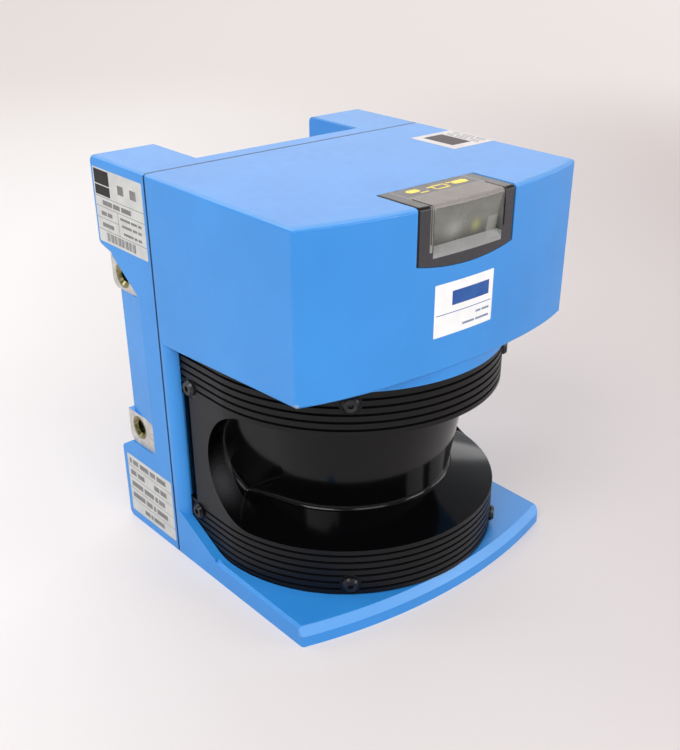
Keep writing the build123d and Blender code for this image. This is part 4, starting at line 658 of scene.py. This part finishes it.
@dataclass
class Surfaces:
    """Grids of points that become one mesh."""

    points: list[np.ndarray] = field(default_factory=list)
    faces: list[np.ndarray] = field(default_factory=list)
    count: int = 0

    def add(self, grid: np.ndarray) -> None:
        """Adds a grid of rows and columns whose columns close on themselves.

        A face joins a point to its neighbours in the next column and the next row.

        Args:
            grid: points in millimetres, of shape rows by columns by 3.
        """
        rows, columns = grid.shape[:2]
        row = np.arange(rows - 1)[:, None] * columns
        column = np.arange(columns)[None, :]
        beside = (column + 1) % columns
        quads = np.stack(
            [row + column, row + beside, row + beside + columns, row + column + columns], axis=-1
        )
        self.faces.append(quads.reshape(-1, 4) + self.count)
        self.points.append(grid.reshape(-1, 3) * MM)
        self.count += rows * columns

    def piece(self, name: str, smooth_below: float = 35.0) -> bpy.types.Object:
        """Makes the object, with its poles welded and its faces outwards.

        Args:
            name: the piece's name.
            smooth_below: edges that bend by fewer degrees are shaded smooth.

        Returns:
            The object, at the origin.
        """
        mesh = bpy.data.meshes.new(name)
        points, faces = np.concatenate(self.points), np.concatenate(self.faces)
        mesh.from_pydata(points.tolist(), [], faces.tolist())
        work = bmesh.new()
        work.from_mesh(mesh)
        bmesh.ops.remove_doubles(work, verts=work.verts, dist=2e-6)
        bmesh.ops.dissolve_degenerate(work, edges=work.edges, dist=1e-7)
        bmesh.ops.recalc_face_normals(work, faces=work.faces)
        work.to_mesh(mesh)
        work.free()
        mesh.polygons.foreach_set("use_smooth", np.ones(len(mesh.polygons), bool))
        mesh.set_sharp_from_angle(angle=math.radians(smooth_below))
        made = bpy.data.objects.new(name, mesh)
        bpy.context.scene.collection.objects.link(made)
        return made


def dress(piece: bpy.types.Object, material: bpy.types.Material) -> None:
    """Gives an object one material."""
    piece.data.materials.clear()
    piece.data.materials.append(material)


def settle(piece: bpy.types.Object) -> None:
    """Lets a new piece ride on the root body, and reports it."""
    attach(piece, "root")
    LOG.info("made %s with %d faces", piece.name, len(piece.data.polygons))


class Carrier(Enum):
    """Faces of the housing that labels and print lie on."""

    LEFT = "left side"
    FRONT = "bowed front"
    TOP = "top"

    def at(self, across: np.ndarray, up: np.ndarray, lift: np.ndarray) -> np.ndarray:
        """Points over the face.

        On the left side the reading direction is -Y. On the front a point turns about the
        bow's axis by its arc length over the radius. On the top, up is +Y.

        Args:
            across: distance along the reading direction, on the front from the middle.
            up: distance along the other direction.
            lift: height over the face.

        Returns:
            The points, in millimetres.
        """
        across, up, lift = np.broadcast_arrays(across, up, lift)
        if self is Carrier.LEFT:
            return np.stack([-HALF - lift, -across, up], axis=-1)
        if self is Carrier.TOP:
            return np.stack([across, up, HEIGHT + lift], axis=-1)
        turn = across / FRONT_R
        radius = FRONT_R + lift
        return np.stack(
            [radius * np.sin(turn), FRONT_Y + FRONT_R - radius * np.cos(turn), up], axis=-1
        )


@dataclass(frozen=True)
class Field:
    """A rounded rectangle on a face: its middle, its size and its corner radius."""

    across: float
    up: float
    width: float
    height: float
    corner: float = 0.3
    step: float = 1.6

    def outline(self) -> np.ndarray:
        """Outline from its middle.

        Four quarter circles whose ends the straight sides join, then more points by length, so
        that the sides can follow a bowed face.

        Returns:
            The points, in millimetres.
        """
        quarter = np.linspace(0, math.pi / 2, 5)
        turn = (np.arange(4)[:, None] * math.pi / 2 + quarter[None, :]).ravel()
        sign_x = np.repeat([1, -1, -1, 1], 5)
        sign_y = np.repeat([1, 1, -1, -1], 5)
        corner = min(self.corner, self.width / 2, self.height / 2)
        x = sign_x * (self.width / 2 - corner) + corner * np.cos(turn)
        y = sign_y * (self.height / 2 - corner) + corner * np.sin(turn)
        x, y = np.append(x, x[0]), np.append(y, y[0])
        along = np.append(0.0, np.cumsum(np.hypot(np.diff(x), np.diff(y))))
        places = np.union1d(along, np.arange(0.0, along[-1], self.step))[:-1]
        return np.stack([np.interp(places, along, x), np.interp(places, along, y)], axis=-1)

    def surface(self, carrier: Carrier, low: float, high: float) -> np.ndarray:
        """Closed thin plate over a face.

        Rings of the outline shrink to the middle: up the underside at low, over the edge, and
        back to the middle at high.

        Args:
            carrier: the face.
            low: lift of its underside.
            high: lift of its upper side.

        Returns:
            The grid of points.
        """
        inner = np.linspace(0.0, 1.0, 6)
        share = np.concatenate([inner, inner[::-1]])[:, None]
        lift = np.repeat([low, high], 6)[:, None]
        outline = self.outline()
        return carrier.at(
            self.across + share * outline[None, :, 0], self.up + share * outline[None, :, 1], lift
        )


@dataclass
class Label:
    """A label: its foil and the plain fields, rules and bars that are printed on it."""

    name: str
    carrier: Carrier
    plate: Field
    prints: dict[str, list[tuple[float, float, float, float]]]
    foil: Foil
    inks: dict[str, Foil]
    slot: str = "label_foil"
    foil_height: float = 0.08
    ink_height: float = 0.015

    def build(self) -> None:
        """Makes the foil, and one piece for each ink."""
        foil = Surfaces()
        foil.add(self.plate.surface(self.carrier, -0.02, self.foil_height))
        plate = foil.piece(self.name)
        dress(plate, self.foil.material())
        settle(plate)
        left = self.plate.across - self.plate.width / 2
        low = self.plate.up - self.plate.height / 2
        for ink, shapes in self.prints.items():
            print_ = Surfaces()
            for start, foot, width, height in shapes:
                mark = Field(
                    left + (start + width / 2) * self.plate.width,
                    low + (foot + height / 2) * self.plate.height,
                    width * self.plate.width,
                    height * self.plate.height,
                    0.1,
                )
                print_.add(
                    mark.surface(
                        self.carrier, self.foil_height - 0.01, self.foil_height + self.ink_height
                    )
                )
            piece = print_.piece(f"{self.name}_{ink}")
            dress(piece, self.inks[ink].material())
            settle(piece)


def words(start: float, foot: float, height: float, runs: Sequence[float]) -> list[tuple]:
    """A row of plain bars with gaps: widths are positive, gaps negative.

    Args:
        start: where the row begins, as a share of the label's width.
        foot: its lower edge, as a share of the label's height.
        height: its height, as a share of the label's.
        runs: widths and gaps, as shares of the label's width.

    Returns:
        The bars as (start, foot, width, height).
    """
    ends = np.cumsum(np.abs(runs))
    return [
        (start + end - run, foot, run, height) for run, end in zip(runs, ends.tolist()) if run > 0
    ]


@dataclass
class LabelSet:
    """The four labels of the scanner, with generic print."""

    silver: Foil = Foil("silver_foil", "#C8C9C6", "#BEBFBC", 0.15, 0.34)
    white: Foil = Foil("white_foil", "#F1F1F0", "#ECECEA")
    pearl: Foil = Foil("pearl_foil", "#CFC8C6", "#C6BFBD", sheen=0.3)
    black: Foil = Foil("black_ink", "#151213", "#1D1A1A", sheen=0.15)
    brown: Foil = Foil("brown_ink", "#2E2021", "#362728", sheen=0.05)
    grey: Foil = Foil("grey_ink", "#6E6D6B", "#7B7A78", sheen=0.3)
    blue: Foil = Foil("blue_ink", "#1F4F96", "#27599F", sheen=0.3)
    slate: Foil = Foil("slate_ink", "#6D7F9E", "#7B8BA6", sheen=0.3)

    def build(self) -> None:
        """Makes all labels."""
        for label in (self.upper_side(), self.lower_side(), self.front(), self.top()):
            label.build()

    def upper_side(self) -> Label:
        """Rating label on the ear: a divided dark block, ruled rows and a row of upright bars."""
        rules = [(0.0, foot, 1.0, 0.008) for foot in (0.62, 0.485, 0.17)]
        rules += [(0.0, 0.33, 0.45, 0.008), (0.45, 0.17, 0.008, 0.32)]
        bars = words(0.5, 0.74, 0.12, [0.12, -0.13, 0.12])
        bars += words(0.15, 0.52, 0.065, [0.2, -0.02, 0.14, -0.03, 0.2])
        bars += words(0.1, 0.375, 0.055, [0.11, -0.02, 0.1])
        bars += words(0.1, 0.22, 0.055, [0.24])
        for row, foot in enumerate((0.405, 0.315, 0.215)):
            bars += words(0.5 + 0.02 * row, foot, 0.035, [0.2, -0.02, 0.12 - 0.03 * row, -0.02, 0.07])
        columns = [0.012, -0.006, 0.026, -0.01, 0.012, -0.018, 0.02, -0.006, 0.03, -0.012] * 4
        dark = [(0.02, 0.645, 0.31, 0.13), (0.02, 0.79, 0.31, 0.19)]
        return Label(
            "side_label_upper",
            Carrier.LEFT,
            Field(-54.95, 163.85, 40.9, 33.3, 0.8),
            {
                "block": dark,
                "rules": rules,
                "bars": bars,
                "columns": words(0.17, 0.035, 0.115, columns),
            },
            self.silver,
            {"block": self.black, "rules": self.grey, "bars": self.grey, "columns": self.grey},
        )

    def lower_side(self) -> Label:
        """Second rating label on the foot: ruled rows with bars."""
        rules = [(0.0, foot, 1.0, 0.008) for foot in (0.8, 0.6, 0.4, 0.2)]
        bars = words(0.05, 0.855, 0.085, [0.05, -0.03, 0.12, -0.04, 0.2, -0.03, 0.12, -0.03, 0.2])
        bars += words(0.05, 0.655, 0.085, [0.13, -0.03, 0.16, -0.22, 0.12, -0.02, 0.14])
        bars += words(0.05, 0.455, 0.085, [0.26, -0.03, 0.22, -0.03, 0.06, -0.02, 0.14])
        bars += words(0.05, 0.255, 0.085, [0.28, -0.03, 0.14, -0.03, 0.05, -0.03, 0.24])
        bars += words(0.3, 0.06, 0.075, [0.12, -0.02, 0.05, -0.02, 0.24])
        return Label(
            "side_label_lower",
            Carrier.LEFT,
            Field(-54.35, 21.1, 40.7, 33.2, 0.8),
            {"rules": rules, "bars": bars},
            self.silver,
            {"rules": self.grey, "bars": self.grey},
        )

    def front(self) -> Label:
        """White label on the hood's front: a blue block, a thin rule and two rows of bars."""
        bars = words(0.7, 0.265, 0.04, [0.09, -0.02, 0.13])
        bars += words(0.47, 0.115, 0.04, [0.21, -0.02, 0.24])
        return Label(
            "front_label",
            Carrier.FRONT,
            Field(-0.6, 142.15, 33.2, 22.1, 0.4),
            {
                "block": [(0.28, 0.55, 0.64, 0.27)],
                "rule": [(0.03, 0.41, 0.94, 0.014)],
                "bars": bars,
            },
            self.white,
            {"block": self.blue, "rule": self.blue, "bars": self.slate},
        )

    def top(self) -> Label:
        """Small white label on the top, read from the left: a dark block and rows behind it."""
        rows: list[tuple] = []
        for row, start in enumerate((0.67, 0.75, 0.83, 0.91)):
            run = words(0.1 + 0.05 * (row % 2), 0.0, 1.0, [0.2, -0.04, 0.28, -0.04, 0.16])
            rows += [(start, foot, 0.035, width) for foot, _, width, _ in run]
        return Label(
            "top_label",
            Carrier.TOP,
            Field(63.8, -5.4, 26.8, 28.2, 0.4),
            {"block": [(0.17, 0.2, 0.45, 0.67)], "bars": rows},
            self.pearl,
            {"block": self.brown, "bars": self.grey},
        )


@dataclass
class ThreadedInserts:
    """The four steel inserts, each with a cut thread in its bore."""

    outer: float = 6.0
    crest: float = 3.4
    root: float = 3.98
    pitch: float = 1.25
    length: float = 16.0
    mouth: float = 4.9
    chamfer: float = 1.3
    around: int = 60
    steps: int = 8

    def surface(self, side: int, y: float, z: float) -> np.ndarray:
        """One insert as a closed surface of turn and profile.

        The profile runs up the outer wall, over the end face, down the chamfer and through the
        bore. In the bore the radius is a rounded triangle wave of the depth over the pitch plus
        the turn over a full circle, so that the groove climbs as a right-hand thread.

        Args:
            side: -1 on the left, 1 on the right.
            y: place of its axis.
            z: place of its axis.

        Returns:
            The grid of points.
        """
        turns = int(self.length / self.pitch)
        bore_depth = np.linspace(self.chamfer, self.length, turns * self.steps + 1)
        depth = np.concatenate([[self.length, self.length * 0.5, 0.0, 0.0, 0.0], bore_depth])
        turn = np.linspace(0, 2 * math.pi, self.around, endpoint=False)
        phase = (bore_depth[:, None] / self.pitch + turn[None, :] / (2 * math.pi)) % 1.0
        cut = np.clip(1.5 - 3.0 * np.abs(phase - 0.5), 0.0, 1.0)
        fade = np.clip((bore_depth - self.chamfer) / self.pitch, 0.15, 1.0)[:, None]
        bore = self.crest + (self.root - self.crest) * cut * fade
        start = np.array([self.outer] * 3 + [(self.outer + self.mouth) / 2, self.mouth])
        radius = np.concatenate([np.repeat(start[:, None], self.around, axis=1), bore])
        radius = np.concatenate([radius, radius[:1]])
        depth = np.concatenate([depth, depth[:1]])
        x = np.broadcast_to((side * (PAD_X - depth))[:, None], radius.shape)
        return np.stack(
            [x, y + side * radius * np.cos(turn), z + radius * np.sin(turn)], axis=-1
        )

    def build(self) -> None:
        """Makes the inserts as one piece that stands for the plain ones."""
        inserts = Surfaces()
        for side in (-1, 1):
            for z in INSERT_Z:
                inserts.add(self.surface(side, INSERT_Y, z))
        piece = inserts.piece("cut_thread_inserts", 30.0)
        dress(piece, Chromate("yellow_chromate").material())
        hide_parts("thread_inserts")
        settle(piece)


@dataclass
class IndicatorPrint:
    """Three plain yellow signs over the lamps, on the window's top."""

    line: float = 0.9
    ink: Foil = Foil("yellow_ink", "#FBDD2E", "#F0CF25", sheen=0.2)

    def ring(self, across: float, up: float, width: float, height: float) -> list[Field]:
        """Four bars round a rectangle."""
        return [
            Field(across, up + height / 2, width, self.line),
            Field(across, up - height / 2, width, self.line),
            Field(across - width / 2, up, self.line, height + self.line),
            Field(across + width / 2, up, self.line, height + self.line),
        ]

    def build(self) -> None:
        """Makes a rounded block over a bar, a box with a stub and a wide block with a stub."""
        marks = [
            Field(-12.0, -58.0, 6.4, 3.6, 1.6),
            Field(-8.8, -61.4, 4.4, 1.0),
            *self.ring(1.2, -59.6, 7.0, 4.2),
            Field(-3.6, -58.0, 2.0, 1.0),
            Field(12.6, -59.0, 8.4, 4.0, 1.8),
            Field(7.8, -57.6, 3.0, 1.0),
        ]
        signs = Surfaces()
        for mark in marks:
            signs.add(mark.surface(Carrier.TOP, -0.01, 0.02))
        piece = signs.piece("indicator_signs")
        dress(piece, self.ink.material())
        settle(piece)


@dataclass
class CadFinishes:
    """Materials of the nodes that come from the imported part."""

    nodes: dict[str, bpy.types.Object]

    def table(self) -> dict[str, Any]:
        """Finish of each node."""
        steel = Metal("satin_steel", "#C9C9CB", "#9B9B9F", 0.3, lines=(1, 1, 8))
        dark_steel = Metal("blackened_steel", "#3A3A3D", "#161618", 0.34, 0.7)
        anodised = Metal("black_anodised", "#1D1D20", "#0E0E10", 0.38, 0.6, (1, 1, 6))
        rubber = Moulded("seal_rubber", "#0C0C0D", "#1B1B1C", 0.7, 0.4)
        board = CircuitBoard("green_board")
        plastic = Moulded("black_plastic", "#0F0F10", "#1E1E20", 0.4)
        glass = Glass("clear_glass")
        silver = Glass("silvered_glass", True)
        return {
            "front_housing": Paint("hood_paint"),
            "rear_housing": Paint("rear_paint", True),
            "optics_cover": CoverPlastic("cover_plastic"),
            "cover_screws": dark_steel,
            "housing_screws": dark_steel,
            "rotor_magnet": dark_steel,
            "indicator_window": SmokedLens("smoked_lens"),
            "housing_gasket": rubber,
            "cover_seal": rubber,
            "motor_base": Metal("machined_aluminium", "#D8D6CF", "#A9A7A0", 0.32, lines=(1, 1, 6)),
            "laser_barrel": Metal("turned_aluminium", "#DDDBD4", "#B3B1AA", 0.25, lines=(1, 8, 1)),
            "motor_cup": steel,
            "motor_bearings": steel,
            "motor_shaft": steel,
            "laser_diode": steel,
            "small_screws": steel,
            "jack_screws": Metal("plated_steel", "#D2D0C6", "#9F9D94", 0.28, lines=(1, 6, 1)),
            "motor_stator": Metal("lacquered_copper", "#B5673A", "#7E4020", 0.35, lines=(1, 1, 9)),
            "mirror_carrier": anodised,
            "lens_tube": anodised,
            "lens_ring": anodised,
            "receiver_cone": anodised,
            "mirror": silver,
            "fold_mirror": silver,
            "encoder_disc": glass,
            "receiver_lens": glass,
            "collimator_lens": glass,
            "encoder_sensor": plastic,
            "receiver_diode": plastic,
            "motor_board": board,
            "receiver_board": board,
            "processor_board": board,
            "power_board": board,
            "indicator_board": board,
            "connector_board": board,
            "lamp_red": Moulded("red_lens", "#9E1B16", "#C42A22", 0.15),
            "lamp_yellow": Moulded("yellow_lens", "#B8901A", "#D9B22E", 0.15),
            "lamp_green": Moulded("green_lens", "#1E7A34", "#2B9A45", 0.15),
            "supply_connector": Inlet("supply_inlet", 21.0, 16.9),
            "data_connector": Inlet("data_inlet", -21.0, 25.2),
        }

    def build(self) -> None:
        """Gives each node its finish, one material for each finish."""
        made: dict[str, bpy.types.Material] = {}
        for node, finish in self.table().items():
            if finish.name not in made:
                made[finish.name] = finish.material()
            dress(self.nodes[node], made[finish.name])
            LOG.info("finished %s with %s", node, finish.name)


@dataclass
class Studio:
    """Pale sweep with painted light and shade, soft lamps and the camera."""

    left_painted_light: str = "#FAF6F4"
    right_painted_shade: str = "#D2C7C5"
    far_left_painted_shade: str = "#E6DEDA"
    far_right_painted_light: str = "#F3EBE9"
    world_colour: str = "#EEE6E4"
    shown: float = 0.3
    far_shown: float = 0.95
    floor_half: float = 6000.0
    sweep_start: float = 3800.0
    sweep_radius: float = 900.0
    camera_place: tuple[float, float, float] = (-291.3, -344.8, 292.9)
    azimuth: float = -41.1
    elevation: float = 29.6
    roll: float = 0.2
    focal_px: float = 1039.6
    centre_px: tuple[float, float] = (355.0, 460.0)
    image_px: tuple[int, int] = (680, 750)
    sensor: float = 36.0

    def build(self) -> None:
        """Makes the sweep, the light and the camera."""
        scene = bpy.context.scene
        scene.view_settings.view_transform = "Standard"
        self.sweep()
        self.world()
        self.lamp("key", (-350.0, -1400.0, 950.0), 900.0, 8.5)
        self.lamp("left", (-1100.0, -350.0, 1250.0), 800.0, 13.5)
        self.lamp("low", (900.0, -1240.0, 470.0), 600.0, 6.5)
        self.lamp("right_card", (1300.0, -450.0, 150.0), 700.0, 4.0, False)
        self.lamp("back", (1656.0, 1897.0, 1620.0), 2700.0, 34.0)
        self.lamp("rim", (-900.0, 1250.0, 1050.0), 700.0, 6.0)
        scene.camera = self.camera()

    def sweep(self) -> bpy.types.Object:
        """Floor that rises into a wall behind, with painted light that falls off from left to right.

        Depth along the profile is flat up to the start, then an arc of the sweep's radius, then
        straight up. The width is a straight line.
        """
        turn = np.linspace(0, math.pi / 2, 24)
        y = np.concatenate(
            [[-self.floor_half], self.sweep_start + self.sweep_radius * np.sin(turn)]
        )
        z = np.concatenate([[0.0], self.sweep_radius * (1 - np.cos(turn))])
        y = np.append(y, y[-1])
        z = np.append(z, z[-1] + self.floor_half)
        x = np.array([-self.floor_half, self.floor_half])
        grid = np.stack(
            [
                np.broadcast_to(x, (len(y), 2)),
                np.broadcast_to(y[:, None], (len(y), 2)),
                np.broadcast_to(z[:, None], (len(z), 2)),
            ],
            axis=-1,
        )
        first = np.arange(len(y) - 1) * 2
        faces = np.stack([first, first + 1, first + 3, first + 2], axis=-1)
        mesh = bpy.data.meshes.new("sweep")
        mesh.from_pydata((grid.reshape(-1, 3) * MM).tolist(), [], faces.tolist())
        mesh.polygons.foreach_set("use_smooth", np.ones(len(faces), bool))
        graph = Graph("sweep_paper")
        seen = graph.node("ShaderNodeLightPath", {}, {}, "Is Camera Ray")
        for ray in ("Is Glossy Ray", "Is Transmission Ray"):
            seen = seen.larger(graph.node("ShaderNodeLightPath", {}, {}, ray))
        x, y, _ = graph.axes()
        # The floor's colour is painted light: lighter at the left, darker at the right.
        aside = (x - y) * (1 / 900.0) + 0.5
        painted_light_falloff = graph.ramp(aside, [(0.0, srgb(self.left_painted_light)), (1.0, srgb(self.right_painted_shade))])
        graph.set(
            Base_Color=graph.mix(graph.grain(300.0) * 0.12, painted_light_falloff, srgb("#D8D4D2")),
            Roughness=0.75,
            Specular_IOR_Level=0.2,
        )
        reach = (x * x + y * y).power(0.5)
        far = graph.node(
            "ShaderNodeMapRange",
            {"interpolation_type": "SMOOTHSTEP"},
            {"Value": reach, "From Min": 350.0, "From Max": 1500.0, "To Min": 0.0, "To Max": 1.0},
        )
        camera_ray = graph.node("ShaderNodeLightPath", {}, {}, "Is Camera Ray")
        share = seen * self.shown + camera_ray * far * (self.far_shown - self.shown)
        # Far off the backdrop is painted darker at the left and lighter at the right: painted light
        # and shade.
        far_painted_light = graph.ramp(
            (x - y) * (1 / 2600.0) + 0.5,
            [(0.0, srgb(self.far_left_painted_shade)), (1.0, srgb(self.far_right_painted_light))],
        )
        graph.show(share, graph.mix(far, painted_light_falloff, far_painted_light))
        mesh.materials.append(graph.material)
        floor = bpy.data.objects.new("sweep", mesh)
        bpy.context.scene.collection.objects.link(floor)
        return floor

    def world(self) -> None:
        """Plain pale surroundings."""
        world = bpy.data.worlds.new("studio")
        world.use_nodes = True
        tree = world.node_tree
        light = tree.nodes["Background"]
        light.inputs["Color"].default_value = (0.93, 0.95, 1.0, 1.0)
        light.inputs["Strength"].default_value = 0.42
        shown = tree.nodes.new("ShaderNodeBackground")
        shown.inputs["Color"].default_value = srgb(self.world_colour)
        ray = tree.nodes.new("ShaderNodeLightPath")
        mixed = tree.nodes.new("ShaderNodeMixShader")
        tree.links.new(ray.outputs["Is Camera Ray"], mixed.inputs[0])
        tree.links.new(light.outputs[0], mixed.inputs[1])
        tree.links.new(shown.outputs[0], mixed.inputs[2])
        tree.links.new(mixed.outputs[0], tree.nodes["World Output"].inputs["Surface"])
        bpy.context.scene.world = world

    def lamp(
        self,
        name: str,
        place: tuple[float, float, float],
        size: float,
        power: float,
        lights: bool = True,
    ) -> None:
        """Adds a square soft lamp that faces the scanner.

        Args:
            name: the lamp's name.
            place: its middle, in millimetres.
            size: its side, in millimetres.
            power: its power in watts.
            lights: whether it lights dull surfaces, or only shows in glossy ones as a card.
        """
        data = bpy.data.lights.new(name, "AREA")
        data.shape = "SQUARE"
        data.size = size * MM
        data.energy = power
        lamp = bpy.data.objects.new(name, data)
        lamp.location = Vector(place) * MM
        lamp.visible_camera = False
        lamp.visible_diffuse = lights
        aim = Vector((0.0, 0.0, 90.0)) - Vector(place)
        lamp.rotation_euler = aim.to_track_quat("-Z", "Y").to_euler()
        bpy.context.scene.collection.objects.link(lamp)

    def camera(self) -> bpy.types.Object:
        """Camera of the photograph, from its solved place, angles and focal length."""
        data = bpy.data.cameras.new("camera")
        width, height = self.image_px
        data.sensor_fit = "HORIZONTAL"
        data.sensor_width = self.sensor
        data.lens = self.focal_px * self.sensor / width
        data.shift_x = -(self.centre_px[0] - width / 2) / width
        data.shift_y = (self.centre_px[1] - height / 2) / width
        data.clip_start, data.clip_end = 0.01, 30.0
        a, e, r = (math.radians(v) for v in (self.azimuth, self.elevation, self.roll))
        back = Vector((math.sin(a) * math.cos(e), -math.cos(a) * math.cos(e), math.sin(e)))
        right = (-back).cross(Vector((0.0, 0.0, 1.0))).normalized()
        up = right.cross(-back)
        turned_right = math.cos(r) * right + math.sin(r) * up
        turned_up = math.cos(r) * up - math.sin(r) * right
        camera = bpy.data.objects.new("camera", data)
        rows = [
            [turned_right[i], turned_up[i], back[i], self.camera_place[i] * MM] for i in range(3)
        ]
        camera.matrix_world = Matrix(rows + [[0.0, 0.0, 0.0, 1.0]])
        bpy.context.scene.collection.objects.link(camera)
        return camera


def main() -> None:
    """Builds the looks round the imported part."""
    logging.basicConfig(level=logging.INFO, format="%(name)s: %(message)s")
    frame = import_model()
    CadFinishes(frame["nodes"]).build()
    ThreadedInserts().build()
    IndicatorPrint().build()
    LabelSet().build()
    Studio().build()


if __name__ == "__main__":
    main()
